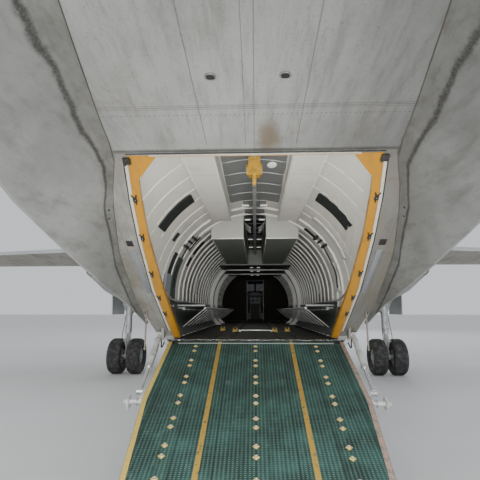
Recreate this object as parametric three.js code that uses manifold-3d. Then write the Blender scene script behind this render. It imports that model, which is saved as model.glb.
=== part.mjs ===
// Twin-turboprop military transport plane, high wing, rear ramp under two ventral strakes.
// Millimetres. +Y is the nose, +X the right wing, +Z up; the tyres stand on Z = 0.
import * as THREE from 'three';
import { mergeVertices } from 'three/addons/utils/BufferGeometryUtils.js';
import Module from 'manifold-3d';

const wasm = await Module();
wasm.setup();
const rad = THREE.MathUtils.degToRad;

// Driving dimensions
const LENGTH = 23800;
const SPAN = 29200;
const HEIGHT = 8575;
const NOSE_Y = LENGTH / 2;
const SEAT = 0.3;
const SWING = 8;
const RAKED_SWING = 25;
const WALL = 55;
const BARREL = { top: 3620, bottom: 1120, waist: 2170, halfWidth: 1450 };
const LOBE_POWER = 3;
const FLOOR_TOP = 1470;
const FLOOR_THICK = 60;
const HOLD_FRONT_Y = 6300;
const SILL_Y = -5000;
const ROOF_SEAM_Z = 2950;
const BELLY_SEAM_Z = FLOOR_TOP - FLOOR_THICK;
const SIDES = [{ name: 'left', sign: -1 }, { name: 'right', sign: 1 }];

// Colours
const PAINT = { grey: '#a9adab', dark: '#3b3f3e', green: '#26403a' };
const TONE = {
  skin: [PAINT.grey, 0.45, 0.1],
  belly: ['#9aa09f', 0.5, 0.1],
  glass: ['#20282c', 0.08, 0.0],
  floor: ['#34362c', 0.7, 0.2],
  seat: ['#2c3d36', 0.9, 0.0],
  amber: ['#d98a1c', 0.5, 0.1],
  deck: [PAINT.green, 0.75, 0.1],
  steel: ['#b9bdbd', 0.35, 0.7],
  blade: [PAINT.dark, 0.5, 0.3],
  tyre: ['#1d1d1e', 0.9, 0.0],
  hub: ['#8f9693', 0.45, 0.5],
  engine: ['#55585a', 0.5, 0.6],
};

// Turns lists of points and triangles into a solid, faces outward
function solidFrom(points, triangles) {
  let volume = 0;
  for (const [a, b, c] of triangles) {
    const [p, q, r] = [points[a], points[b], points[c]];
    volume += p[0] * (q[1] * r[2] - q[2] * r[1]) - p[1] * (q[0] * r[2] - q[2] * r[0])
      + p[2] * (q[0] * r[1] - q[1] * r[0]);
  }
  const ordered = volume < 0 ? triangles.map(([a, b, c]) => [a, c, b]) : triangles;
  return new wasm.Manifold(new wasm.Mesh({
    numProp: 3,
    vertProperties: new Float32Array(points.flat()),
    triVerts: new Uint32Array(ordered.flat()),
  }));
}

// A three.js geometry as a solid, placed by a matrix
function solidOf(geometry, matrix = new THREE.Matrix4()) {
  const bare = (geometry.index ? geometry.toNonIndexed() : geometry).clone();
  for (const name of Object.keys(bare.attributes)) {
    if (name !== 'position') bare.deleteAttribute(name);
  }
  const merged = mergeVertices(bare, 1e-3);
  merged.applyMatrix4(matrix);
  const at = merged.attributes.position;
  const points = [];
  for (let k = 0; k < at.count; k++) points.push([at.getX(k), at.getY(k), at.getZ(k)]);
  const triangles = [];
  const corner = merged.index.array;
  for (let k = 0; k < corner.length; k += 3) {
    const [a, b, c] = [corner[k], corner[k + 1], corner[k + 2]];
    if (a !== b && b !== c && c !== a) triangles.push([a, b, c]);
  }
  return solidFrom(points, triangles);
}

// A loft through rings of equal point counts: each has a flat outline and a rule that places it
function loft(rings) {
  const count = rings[0].outline.length;
  const points = [];
  for (const ring of rings) {
    for (const [u, v] of ring.outline) points.push(ring.place(u, v));
  }
  const triangles = [];
  for (let row = 0; row + 1 < rings.length; row++) {
    for (let k = 0; k < count; k++) {
      const a = row * count + k;
      const b = row * count + (k + 1) % count;
      triangles.push([a, b, b + count], [a, b + count, a + count]);
    }
  }
  const last = (rings.length - 1) * count;
  for (const [ring, start, isLast] of [[rings[0], 0, false], [rings.at(-1), last, true]]) {
    const flat = ring.outline.map(([u, v]) => new THREE.Vector2(u, v));
    const keep = (THREE.ShapeUtils.area(flat) > 0) === isLast;
    for (const [a, b, c] of THREE.ShapeUtils.triangulateShape(flat, [])) {
      triangles.push(keep ? [start + a, start + b, start + c] : [start + a, start + c, start + b]);
    }
  }
  return solidFrom(points, triangles);
}

const box = (x0, x1, y0, y1, z0, z1) => solidOf(
  new THREE.BoxGeometry(Math.abs(x1 - x0), Math.abs(y1 - y0), Math.abs(z1 - z0)),
  new THREE.Matrix4().makeTranslation((x0 + x1) / 2, (y0 + y1) / 2, (z0 + z1) / 2),
);

// A round bar from one point to another
function rod(from, to, radius, sides = 12) {
  const start = new THREE.Vector3(...from);
  const end = new THREE.Vector3(...to);
  const along = end.clone().sub(start);
  const upright = new THREE.Vector3(0, 1, 0);
  const turn = new THREE.Quaternion().setFromUnitVectors(upright, along.clone().normalize());
  const middle = start.clone().add(end).multiplyScalar(0.5);
  const place = new THREE.Matrix4().compose(middle, turn, new THREE.Vector3(1, 1, 1));
  return solidOf(new THREE.CylinderGeometry(radius, radius, along.length(), sides), place);
}

// A profile of [radius, distance along the X axis] turned about X at a centre, with a facet lowest
function turned(profile, sides, centre = [0, 0, 0]) {
  const half = Math.PI / sides;
  const path = profile.map(([radius, along]) => new THREE.Vector2(radius, along));
  const place = new THREE.Matrix4().makeTranslation(...centre)
    .multiply(new THREE.Matrix4().makeRotationZ(-Math.PI / 2));
  return solidOf(new THREE.LatheGeometry(path, sides, half, Math.PI * 2), place);
}

// A flat outline of [y, z] points made solid between two values of X
function plate(outline, x0, x1) {
  return loft([
    { outline, place: (y, z) => [x0, y, z] },
    { outline, place: (y, z) => [x1, y, z] },
  ]);
}

function mesh(name, solid, tone, origin = [0, 0, 0]) {
  const cut = solid.getMesh();
  const at = new Float32Array(cut.vertProperties.length);
  for (let k = 0; k < at.length; k++) at[k] = cut.vertProperties[k] - origin[k % 3];
  const geometry = new THREE.BufferGeometry();
  geometry.setAttribute('position', new THREE.BufferAttribute(at, 3));
  geometry.setIndex(new THREE.BufferAttribute(cut.triVerts, 1));
  const [color, roughness, metalness] = tone;
  const made = new THREE.Mesh(geometry, new THREE.MeshStandardMaterial({ color, roughness, metalness }));
  made.name = name;
  made.position.set(...origin);
  return made;
}

const plane = new THREE.Group();
const add = (...made) => plane.add(...made);

// Fuselage sections: distance aft of the nose, top, bottom, waist, half width, power of the lower lobe
const barrel = { ...BARREL, power: LOBE_POWER };
const NOSE_SECTIONS = [
  { aft: 0, top: 2000, bottom: 1860, waist: 1930, halfWidth: 70, power: 2 },
  { aft: 120, top: 2210, bottom: 1650, waist: 1930, halfWidth: 300, power: 2 },
  { aft: 420, top: 2450, bottom: 1430, waist: 1935, halfWidth: 560, power: 2 },
  { aft: 900, top: 2660, bottom: 1265, waist: 1950, halfWidth: 820, power: 2.2 },
  { aft: 1350, top: 2830, bottom: 1180, waist: 1990, halfWidth: 1010, power: 2.4 },
  { aft: 1900, top: 3200, bottom: 1140, waist: 2050, halfWidth: 1190, power: 2.6 },
  { aft: 2450, top: 3465, bottom: 1125, waist: 2110, halfWidth: 1320, power: 2.8 },
  { aft: 3100, top: 3585, bottom: 1120, waist: 2150, halfWidth: 1410, power: LOBE_POWER },
  { aft: 3900, ...barrel },
  { aft: NOSE_Y - HOLD_FRONT_Y, ...barrel },
];
const RADOME_ROW = 3;

// Tail sections, from the ramp sill aft; below, they are cut by the hatch plane
const TAIL_SECTIONS = [
  { aft: 0, top: 3620, waist: 2170, halfWidth: 1450 },
  { aft: 1200, top: 3620, waist: 2175, halfWidth: 1440 },
  { aft: 2000, top: 3618, waist: 2185, halfWidth: 1415 },
  { aft: 2800, top: 3610, waist: 2200, halfWidth: 1370 },
  { aft: 2950, top: 3609, waist: 2225, halfWidth: 1352 },
  { aft: 3600, top: 3600, waist: 2330, halfWidth: 1250 },
  { aft: 4400, top: 3580, waist: 2560, halfWidth: 1060 },
  { aft: 5200, top: 3545, waist: 2850, halfWidth: 820 },
  { aft: 5800, top: 3510, waist: 3080, halfWidth: 600 },
  { aft: 6250, top: 3465, waist: 3330, halfWidth: 330 },
].map((row) => ({ ...row, bottom: BARREL.bottom, power: LOBE_POWER }));
const HATCH = { run: 2800, sillZ: 1492, topZ: 3042, flange: 120 };
const TAIL_FLAT_RISE = 0.1;
const CONE_WALL = 35;
const hatchSlope = (HATCH.topZ - HATCH.sillZ) / HATCH.run;
const cutHeight = (aft) => (aft <= HATCH.run
  ? HATCH.sillZ + hatchSlope * aft
  : HATCH.topZ + TAIL_FLAT_RISE * (aft - HATCH.run));

// A point on a section's skin, by its angle from the waist; inset moves it inward
function skinPoint(section, angle, inset = 0) {
  const half = section.halfWidth - inset;
  const sine = Math.sin(angle);
  const cosine = Math.cos(angle);
  if (sine >= 0) return [half * cosine, section.waist + (section.top - inset - section.waist) * sine];
  const power = 2 / section.power;
  const depth = section.waist - (section.bottom + inset);
  const side = Math.sign(cosine) * Math.abs(cosine) ** power;
  return [half * side, section.waist - depth * Math.abs(sine) ** power];
}
function angleAtHeight(section, z, inset = 0) {
  if (z >= section.waist) return Math.asin((z - section.waist) / (section.top - inset - section.waist));
  const depth = section.waist - (section.bottom + inset);
  return -Math.asin(((section.waist - z) / depth) ** (section.power / 2));
}
function skinArc(section, from, to, steps, inset = 0) {
  const points = [];
  for (let k = 0; k <= steps; k++) points.push(skinPoint(section, from + (to - from) * k / steps, inset));
  return points;
}
const halfWidthAt = (section, z, inset = 0) => (
  skinPoint(section, angleAtHeight(section, z, inset), inset)[0]);
const across = (y) => (x, z) => [x, y, z];

// Closed ring of a nose or barrel section
const SKIN_STEPS = 40;
const wholeRing = (section, inset = 0, steps = SKIN_STEPS) => (
  skinArc(section, 0, 2 * Math.PI, steps, inset).slice(0, -1));
const noseLoft = (rows, inset, shift = 0) => loft(rows.map((row) => ({
  outline: wholeRing(row, inset), place: across(NOSE_Y - row.aft - shift) })));

// Barrel wall panels between two heights, from the hold's front to the ramp sill
function barrelPanel(low, high, steps, inset = WALL) {
  const at = (z, depth) => angleAtHeight(barrel, z, depth);
  const outer = skinArc(barrel, at(low, 0), at(high, 0), steps);
  const inner = skinArc(barrel, at(high, inset), at(low, inset), steps, inset);
  return [...outer, ...inner];
}
const SIDE_STEPS = 14;
const sidePanel = (sign, inset) => (
  mirrored(barrelPanel(BELLY_SEAM_Z + SEAT, ROOF_SEAM_Z, SIDE_STEPS, inset), sign));
const mirrored = (outline, sign) => outline.map(([u, v]) => [u * sign, v]);
function alongBarrel(outline, backY = SILL_Y + SEAT) {
  return loft([
    { outline, place: across(HOLD_FRONT_Y - SEAT) },
    { outline, place: across(backY) },
  ]);
}
const roofAngle = angleAtHeight(barrel, ROOF_SEAM_Z + SEAT);
const roofInner = angleAtHeight(barrel, ROOF_SEAM_Z + SEAT, WALL);
const roofOutline = [
  ...skinArc(barrel, roofAngle, Math.PI - roofAngle, 20),
  ...skinArc(barrel, Math.PI - roofInner, roofInner, 20, WALL),
];
const bellyAngle = angleAtHeight(barrel, BELLY_SEAM_Z);
const bellyInner = angleAtHeight(barrel, BELLY_SEAM_Z, WALL);
const bellyOutline = [
  ...skinArc(barrel, -Math.PI - bellyAngle, bellyAngle, 18),
  ...skinArc(barrel, bellyInner, -Math.PI - bellyInner, 18, WALL),
];

// Hold roof with its side ducts, the lowered bay under the wing and the two ceiling panels behind it
const DUCT = { inner: 380, outer: 680, low: 3300, front: -4400 };
const wingBay = { half: 1150, low: 3120, front: 3700, back: 300 };
const CEILING = { inner: 200, outer: 770, low: 3150, back: -3700 };
const roofFill = loft([HOLD_FRONT_Y - SEAT, SILL_Y + SEAT].map((y) => ({
  outline: skinArc(barrel, roofAngle, Math.PI - roofAngle, 20, WALL / 2), place: across(y) })));
let holdRoof = alongBarrel(roofOutline);
holdRoof = holdRoof.add(roofFill.intersect(
  box(-wingBay.half, wingBay.half, wingBay.back, wingBay.front, wingBay.low, 3620)));
for (const { sign } of SIDES) {
  const duct = box(sign * DUCT.inner, sign * DUCT.outer, DUCT.front, SILL_Y, DUCT.low, 3620);
  const panel = box(sign * CEILING.inner, sign * CEILING.outer, CEILING.back, wingBay.back + 1,
    CEILING.low, 3620);
  holdRoof = holdRoof.add(roofFill.intersect(duct.add(panel)));
}
add(mesh('hold_roof', holdRoof, TONE.skin));
for (const { name, sign } of SIDES) {
  add(mesh(`hold_side_${name}`, alongBarrel(sidePanel(sign)), TONE.skin));
}

// Belly with the floor's three beams, and the cargo floor on them
const BEAM = { half: 35, spacing: 620 };
const BELLY_BACK_Y = SILL_Y + 60;
let belly = alongBarrel(bellyOutline, BELLY_BACK_Y);
for (const column of [-1, 0, 1]) {
  const x = column * BEAM.spacing;
  belly = belly.add(box(x - BEAM.half, x + BEAM.half, BELLY_BACK_Y, HOLD_FRONT_Y - SEAT,
    BARREL.bottom + WALL / 2, BELLY_SEAM_Z));
}
add(mesh('fuselage_belly', belly, TONE.belly));

// Ramp hinge line: a tube under the sill, carried by a lug at each end
const HINGE = { y: SILL_Y, z: FLOOR_TOP - 45, radius: 45, half: 1060, pin: 20, pinDepth: 40, lug: 50 };
const floorEdgeZ = BELLY_SEAM_Z + SEAT;
const floorSide = (z) => halfWidthAt(barrel, z, WALL) - 3;
const floorOutline = [
  [-floorSide(floorEdgeZ), floorEdgeZ], [floorSide(floorEdgeZ), floorEdgeZ],
  [floorSide(FLOOR_TOP), FLOOR_TOP], [-floorSide(FLOOR_TOP), FLOOR_TOP],
];
let cargoFloor = loft([HOLD_FRONT_Y - SEAT, SILL_Y + HINGE.radius + SWING].map((y) => ({
  outline: floorOutline, place: across(y) })));
for (const { sign } of SIDES) {
  const inner = sign * (HINGE.half + SEAT);
  const outer = sign * (HINGE.half + HINGE.lug);
  const earFront = SILL_Y + HINGE.radius + SWING + 20;
  const earBack = SILL_Y - 30;
  const ear = plate([[earFront, FLOOR_TOP - FLOOR_THICK + SEAT], [earBack, HINGE.z - 40],
    [earBack, FLOOR_TOP - 8], [earFront, FLOOR_TOP]], inner, outer);
  const pinEnd = sign * (HINGE.half - HINGE.pinDepth);
  const pin = rod([outer, HINGE.y, HINGE.z], [pinEnd, HINGE.y, HINGE.z], HINGE.pin);
  cargoFloor = cargoFloor.add(ear).add(pin);
}
add(mesh('cargo_floor', cargoFloor, TONE.floor));

// Nose radome and the cockpit shell with its windows, rebate and crew door
add(mesh('nose_radome', noseLoft(NOSE_SECTIONS.slice(0, RADOME_ROW + 1), 0), TONE.belly));
const shellRows = NOSE_SECTIONS.slice(RADOME_ROW);
const shellSolid = noseLoft(shellRows, 0, SEAT)
  .intersect(box(-2000, 2000, HOLD_FRONT_Y, NOSE_Y, 0, 5000));
const cockpitRows = NOSE_SECTIONS.slice(RADOME_ROW + 1);
const cockpitVoid = noseLoft(cockpitRows, WALL).intersect(
  box(-2000, 2000, HOLD_FRONT_Y + WALL, NOSE_Y, 0, 5000));
// Windows: panes seen from ahead are [x, z] outlines, side panes are [y aft of nose, z] outlines
const FRONT_PANE = [[45, 2900], [560, 2890], [640, 3190], [45, 3240]];
const CORNER_PANE = [[640, 2880], [960, 2870], [900, 3090], [715, 3190]];
const SIDE_PANES = [
  [[2080, 2700], [2640, 2700], [2640, 3080], [2230, 3080]],
  [[2720, 2700], [3180, 2700], [3120, 3050], [2720, 3080]],
];
const CORNER_AFT = { from: 1250, to: 2300 };
let windowCuts = null;
const cutWindow = (solid) => { windowCuts = windowCuts ? windowCuts.add(solid) : solid; };
for (const { sign } of SIDES) {
  for (const pane of [FRONT_PANE, CORNER_PANE]) {
    cutWindow(loft([CORNER_AFT.from, CORNER_AFT.to].map((aft) => ({
      outline: mirrored(pane, sign), place: across(NOSE_Y - aft) }))));
  }
  for (const pane of SIDE_PANES) {
    cutWindow(plate(pane.map(([aft, z]) => [NOSE_Y - aft, z]), sign * 900, sign * 1600));
  }
}
const REBATE = 20;
const PANE_THICK = 14;
const GLASS_ZONE = { front: NOSE_Y - 1420, back: NOSE_Y - 3300, low: 2620, high: 3340 };
const glassZone = (grow) => box(-2000, 2000, GLASS_ZONE.back - grow, GLASS_ZONE.front + grow,
  GLASS_ZONE.low - grow, GLASS_ZONE.high + grow);
const rebate = noseLoft(cockpitRows, REBATE).intersect(glassZone(0));
const glassBand = noseLoft(cockpitRows, REBATE + SEAT)
  .subtract(noseLoft(cockpitRows, REBATE + SEAT + PANE_THICK))
  .intersect(glassZone(-SEAT));
const CREW_DOOR = { front: 7750, back: 7080, low: 1500, high: 2880 };
const doorBlock = (gap) => box(900, 1700, CREW_DOOR.back + gap, CREW_DOOR.front - gap,
  CREW_DOOR.low + gap, CREW_DOOR.high - gap);
const BULKHEAD_WAY = { half: 330, high: 3150 };
const shellWall = shellSolid.subtract(cockpitVoid).subtract(rebate);
const cockpitShell = shellWall.subtract(windowCuts).subtract(doorBlock(0))
  .subtract(box(-BULKHEAD_WAY.half, BULKHEAD_WAY.half, HOLD_FRONT_Y - 50, HOLD_FRONT_Y + WALL + 20,
    FLOOR_TOP, BULKHEAD_WAY.high));
for (const { name, sign } of SIDES) {
  const half = cockpitShell.intersect(box(sign * SEAT / 2, sign * 2000, HOLD_FRONT_Y, NOSE_Y, 0, 5000));
  add(mesh(`cockpit_shell_${name}`, half, TONE.skin));
}
add(mesh('cockpit_glass', glassBand, TONE.glass));
add(mesh('crew_door', shellWall.intersect(doorBlock(0.5)), TONE.skin));

// Cockpit floor with the panel, pedestal and equipment racks, and two seats on it
const cockpitFloorSolid = noseLoft(cockpitRows, WALL + 2).intersect(
  box(-2000, 2000, HOLD_FRONT_Y + WALL + SEAT, NOSE_Y - 1420, FLOOR_TOP - 50, FLOOR_TOP));
const PANEL = { front: NOSE_Y - 1650, back: NOSE_Y - 1800, half: 780, low: 2150, high: 2680 };
const panelBoard = box(-PANEL.half, PANEL.half, PANEL.back, PANEL.front, PANEL.low, PANEL.high);
const pedestal = box(-210, 210, PANEL.back - 550, PANEL.front, FLOOR_TOP - 20, PANEL.low + 60);
let cockpitFloor = cockpitFloorSolid.add(panelBoard).add(pedestal);
const RACK = {
  inner: 430, outer: 930, back: HOLD_FRONT_Y + WALL + 40, front: HOLD_FRONT_Y + 560, high: 2780,
};
for (const { sign } of SIDES) {
  cockpitFloor = cockpitFloor.add(box(sign * RACK.inner, sign * RACK.outer, RACK.back, RACK.front,
    FLOOR_TOP - 20, RACK.high));
}
add(mesh('cockpit_floor', cockpitFloor, TONE.floor));
const SEAT_PLACE = { x: 480, y: NOSE_Y - 2450, z: FLOOR_TOP + SEAT };
for (const { name, sign } of SIDES) {
  const x = sign * SEAT_PLACE.x;
  const { y, z } = SEAT_PLACE;
  const seat = box(x - 90, x + 90, y - 230, y + 180, z, z + 340)
    .add(box(x - 230, x + 230, y - 250, y + 230, z + 320, z + 450))
    .add(box(x - 220, x + 220, y - 360, y - 230, z + 380, z + 1060))
    .add(box(x - 130, x + 130, y - 350, y - 240, z + 1050, z + 1290));
  add(mesh(`pilot_seat_${name}`, seat, TONE.seat));
}

// Tail body around the ramp well: hollow, open below along the hatch plane
function tailRing(section, inset = 0, lift = 0) {
  const low = cutHeight(section.aft) + lift;
  const angle = angleAtHeight(section, low, inset);
  return skinArc(section, angle, Math.PI - angle, 28, inset);
}
const wellRows = TAIL_SECTIONS.filter((row) => row.aft <= 2950);
const tailY = (aft) => SILL_Y - aft;
const tailLoft = (rows, inset, lift) => loft(rows.map((row) => ({
  outline: tailRing(row, inset, lift), place: across(tailY(row.aft)) })));
const aftEnd = wellRows.at(-1);
const shiftedFront = { ...TAIL_SECTIONS[0], aft: -20 };
const voidRows = [shiftedFront, ...wellRows.slice(0, 3), { ...TAIL_SECTIONS[3], aft: HATCH.run - 80 }];
const wellVoid = tailLoft(voidRows, WALL, HATCH.flange);
// The opening's half width and its frame bar's width along the hatch, bowed out near the sill
const HATCH_ROWS = [
  { aft: -20, half: 1118, bar: 90 },
  { aft: 400, half: 1130, bar: 96 },
  { aft: 1150, half: 1140, bar: 100 },
  { aft: 1900, half: 1090, bar: 74 },
  { aft: 2380, half: 1036, bar: 70 },
  { aft: HATCH.run, half: 968, bar: 68 },
];
function hatchRow(aft) {
  const next = HATCH_ROWS.findIndex((row) => row.aft >= aft);
  const [low, high] = [HATCH_ROWS[next - 1], HATCH_ROWS[next]];
  const share = (aft - low.aft) / (high.aft - low.aft);
  const mix = (key) => low[key] + (high[key] - low[key]) * share;
  return { aft, half: mix('half'), bar: mix('bar') };
}
const openingPrism = loft(HATCH_ROWS.map(({ aft, half }) => {
  const low = cutHeight(aft) - 30;
  const high = cutHeight(aft) + HATCH.flange + 30;
  return { outline: [[-half, low], [half, low], [half, high], [-half, high]], place: across(tailY(aft)) };
}));
const wellBody = tailLoft(wellRows, 0, 0).subtract(wellVoid).subtract(openingPrism);
const AFT_DUCT_RUN = 2350;
const aftDucts = SIDES.map(({ sign }) => box(sign * DUCT.inner, sign * DUCT.outer,
  SILL_Y - AFT_DUCT_RUN, SILL_Y, DUCT.low, 3600));
let aftRoof = wellBody.intersect(box(-2000, 2000, tailY(aftEnd.aft), SILL_Y, ROOF_SEAM_Z + SEAT, 4000));
const aftRoofFill = tailLoft(wellRows, WALL / 2, 10);
for (const duct of aftDucts) aftRoof = aftRoof.add(duct.intersect(aftRoofFill));
add(mesh('tail_roof', aftRoof, TONE.skin));

// Ramp cylinders: fixed pivot under the hatch edge, eye on the ramp's side
const RAMP = { slope: 21.5, length: 3080, half: 1190, taperFrom: 1350, toeHalf: 1010 };
const RAM = {
  x: 1270, pivotAft: 250, pivotZ: 1572, eyeAlong: 1150, eyeUp: 0, barrel: 34, rod: 18, pin: 16,
};
const EYE = { half: 36, radius: 40, bore: 17.5 };
for (const { name, sign } of SIDES) {
  const half = wellBody.intersect(box(0, sign * 2000, tailY(aftEnd.aft), SILL_Y, 0, ROOF_SEAM_Z));
  const lugInner = sign * (RAM.x - EYE.half - SEAT - 30);
  const lugOuter = sign * (RAM.x - EYE.half - SEAT);
  const pivotY = tailY(RAM.pivotAft);
  const lugTop = cutHeight(RAM.pivotAft) + 30;
  const lug = plate([[pivotY - 45, RAM.pivotZ - 40], [pivotY + 45, RAM.pivotZ - 40],
    [pivotY + 60, lugTop], [pivotY - 60, lugTop]], lugInner, lugOuter);
  const pinEnd = sign * (RAM.x + EYE.half);
  const pin = rod([lugInner, pivotY, RAM.pivotZ], [pinEnd, pivotY, RAM.pivotZ], RAM.pin);
  add(mesh(`tail_side_${name}`, half.add(lug).add(pin), TONE.skin));
}

// Tail cone, solid, with the flat underside behind the hatch
const coneRows = TAIL_SECTIONS.filter((row) => row.aft >= 2950);
const coneVoid = tailLoft(coneRows.slice(0, -1), CONE_WALL, CONE_WALL);
const tailCone = tailLoft(coneRows, 0, 0).subtract(coneVoid)
  .intersect(box(-2000, 2000, -NOSE_Y, tailY(aftEnd.aft) - SEAT, 0, 5000));
add(mesh('tail_cone', tailCone, TONE.skin));
const tailGrown = loft(TAIL_SECTIONS.map((row) => ({
  outline: tailRing({ ...row, top: row.top + SEAT, halfWidth: row.halfWidth + SEAT }, 0, -SEAT),
  place: across(tailY(row.aft)) })));
const BORE_STEPS = 72;
const boreGrow = (BARREL.halfWidth + SEAT) / Math.cos(Math.PI / BORE_STEPS) - BARREL.halfWidth;
const barrelGrown = loft([HOLD_FRONT_Y + 3000, SILL_Y].map((y) => ({
  outline: wholeRing(barrel, -boreGrow, BORE_STEPS), place: across(y) })));

// Amber frame of the hatch: two side bars, the top bar and its corner gussets, in the hatch plane
const FRAME = { topBar: 14, thick: 60, gussetAcross: 150, gussetDown: 200, front: 60 };
const frameTop = hatchRow(HATCH.run - 1);
const frameRows = [hatchRow(FRAME.front), ...HATCH_ROWS.slice(1, -1)];
const rightFrame = [...frameRows, frameTop].map(({ aft, half }) => [half - SEAT, aft]);
const gussetFoot = hatchRow(frameTop.aft - FRAME.topBar - FRAME.gussetDown);
const rightInside = [
  [frameTop.half - frameTop.bar - FRAME.gussetAcross, frameTop.aft - FRAME.topBar],
  ...[gussetFoot, ...frameRows.reverse()].map(({ aft, half, bar }) => [half - bar, aft]),
];
const frameOutline = [
  ...rightFrame, ...mirrored(rightFrame, -1).reverse(),
  ...mirrored(rightInside, -1).reverse(), ...rightInside,
];
const hatchFrame = loft([SEAT, FRAME.thick].map((lift) => ({
  outline: frameOutline, place: (x, aft) => [x, tailY(aft), cutHeight(aft) + lift] })));
add(mesh('hatch_frame', hatchFrame, TONE.amber));

// Ventral strakes: a thin skin hanging from the crease between side and hatch plane
const STRAKE_ROWS = [
  { aft: 450, lowZ: 1715, lowX: 1408 },
  { aft: 1000, lowZ: 1920, lowX: 1448 },
  { aft: 1700, lowZ: 2090, lowX: 1468 },
  { aft: 2400, lowZ: 2275, lowX: 1480 },
  { aft: HATCH.run, lowZ: 2385, lowX: 1480 },
  { aft: 3350, lowZ: 2535, lowX: 1470 },
  { aft: 4150, lowZ: 2760, lowX: 1360 },
  { aft: 4500, lowZ: 2990, lowX: 1130 },
];
const STRAKE_THICK = { root: 34, edge: 22, bulge: 45 };
function tailSectionAt(aft) {
  const next = TAIL_SECTIONS.findIndex((row) => row.aft > aft);
  const [low, high] = [TAIL_SECTIONS[next - 1], TAIL_SECTIONS[next]];
  const share = (aft - low.aft) / (high.aft - low.aft);
  const mix = (key) => low[key] + (high[key] - low[key]) * share;
  return { aft, top: mix('top'), waist: mix('waist'), halfWidth: mix('halfWidth'),
    bottom: BARREL.bottom, power: LOBE_POWER };
}
const strakeTop = (aft) => cutHeight(aft) - SEAT;
const creaseX = (aft) => halfWidthAt(tailSectionAt(aft), cutHeight(aft)) - 4;
for (const { name, sign } of SIDES) {
  const strake = loft(STRAKE_ROWS.map(({ aft, lowZ, lowX }) => {
    const rootX = creaseX(aft);
    const topZ = strakeTop(aft);
    const midX = (rootX + lowX) / 2 + STRAKE_THICK.bulge * Math.min(1, (topZ - lowZ) / 500);
    const midZ = (topZ + lowZ) / 2;
    const outline = [
      [rootX, topZ], [midX, midZ], [lowX, lowZ], [lowX - STRAKE_THICK.edge, lowZ],
      [midX - STRAKE_THICK.root, midZ], [rootX - STRAKE_THICK.root, topZ],
    ];
    return { outline: mirrored(outline, sign), place: across(tailY(aft)) };
  }));
  add(mesh(`strake_${name}`, strake, TONE.skin));
}

// Hoist rail on frames' crowns, and the hoist under it
const RAIL = { half: 25, low: 3400, top: 3475, back: SILL_Y - 2000 };
const HANGER = { count: 8, half: 20 };
let rail = box(-RAIL.half, RAIL.half, RAIL.back, wingBay.back - SEAT, RAIL.low, RAIL.top);
for (let k = 0; k < HANGER.count; k++) {
  const y = RAIL.back + 150 + k * (wingBay.back - RAIL.back - 400) / (HANGER.count - 1);
  rail = rail.add(box(-HANGER.half, HANGER.half, y - HANGER.half, y + HANGER.half, RAIL.top - 10,
    BARREL.top - WALL - 3.5));
}
add(mesh('hoist_rail', rail, TONE.steel));
const HOIST = { y: -6750, half: 60, length: 220, top: RAIL.low - 0.5, low: 3180 };
let hoist = box(-HOIST.half, HOIST.half, HOIST.y - HOIST.length / 2, HOIST.y + HOIST.length / 2,
  HOIST.low + 70, HOIST.top);
const DRUM = { half: HOIST.half + 20, z: HOIST.low + 130, radius: 62 };
hoist = hoist.add(rod([-DRUM.half, HOIST.y, DRUM.z], [DRUM.half, HOIST.y, DRUM.z], DRUM.radius));
hoist = hoist.add(rod([0, HOIST.y, HOIST.low - 40], [0, HOIST.y, HOIST.low + 90], 20));
add(mesh('hoist', hoist, TONE.amber));

// Folding benches along both sides: canvas pan on two tubes, braces and brackets to the side walls
const BENCH = {
  front: 5600, back: -3700, inner: 860, outer: 1230, z: 1930, tube: 22, pan: 14, braces: 5,
  brace: 16, footX: 1320, footZ: 1560,
};
for (const { name, sign } of SIDES) {
  const innerX = sign * BENCH.inner;
  const outerX = sign * BENCH.outer;
  const wallX = sign * (BARREL.halfWidth - WALL / 2);
  let bench = box(innerX, outerX, BENCH.back, BENCH.front, BENCH.z - BENCH.pan, BENCH.z + BENCH.pan)
    .add(rod([innerX, BENCH.back, BENCH.z], [innerX, BENCH.front, BENCH.z], BENCH.tube, 8))
    .add(rod([outerX, BENCH.back, BENCH.z], [outerX, BENCH.front, BENCH.z], BENCH.tube, 8));
  for (let k = 0; k < BENCH.braces; k++) {
    const y = BENCH.back + 80 + k * (BENCH.front - BENCH.back - 160) / (BENCH.braces - 1);
    bench = bench
      .add(rod([sign * BENCH.footX, y, BENCH.footZ], [innerX, y, BENCH.z], BENCH.brace, 6))
      .add(rod([wallX, y, BENCH.z], [outerX, y, BENCH.z], BENCH.brace, 6));
  }
  bench = bench.subtract(alongBarrel(sidePanel(sign, WALL + SEAT * 1.5)));
  add(mesh(`bench_${name}`, bench, TONE.seat));
}

// Aerofoil outline between two shares of the chord; thickness is a share of the chord
const AEROFOIL_STEPS = [0, 0.012, 0.05, 0.13, 0.28, 0.45, 0.62, 0.8, 1];
const CAMBER = 0.02;
const halfThickness = (share) => 5 * (0.2969 * Math.sqrt(share) - 0.126 * share - 0.3516 * share ** 2
  + 0.2843 * share ** 3 - 0.1036 * share ** 4);
function aerofoil({ chord, thick, camber = 0 }, from, to) {
  const shares = [from, ...AEROFOIL_STEPS.filter((share) => share > from + 0.01 && share < to - 0.01), to];
  const edge = 3;
  const rise = (share) => camber * 4 * share * (1 - share);
  const height = (share, side) => chord * (rise(share) + side * thick * halfThickness(share)) + side * edge;
  const upper = shares.map((share) => [share * chord, height(share, 1)]);
  const lower = shares.map((share) => [share * chord, height(share, -1)]).reverse();
  return [...upper, ...lower];
}

// The hollow inside a surface: the aerofoil less its skin, clear of both edges
const SKIN_WALL = 30;
const HOLLOW_FROM = 0.06;
function hollowOutline(station, to) {
  return aerofoil(station, HOLLOW_FROM, to).map(([c, t]) => [c, t - Math.sign(t) * SKIN_WALL]);
}

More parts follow.
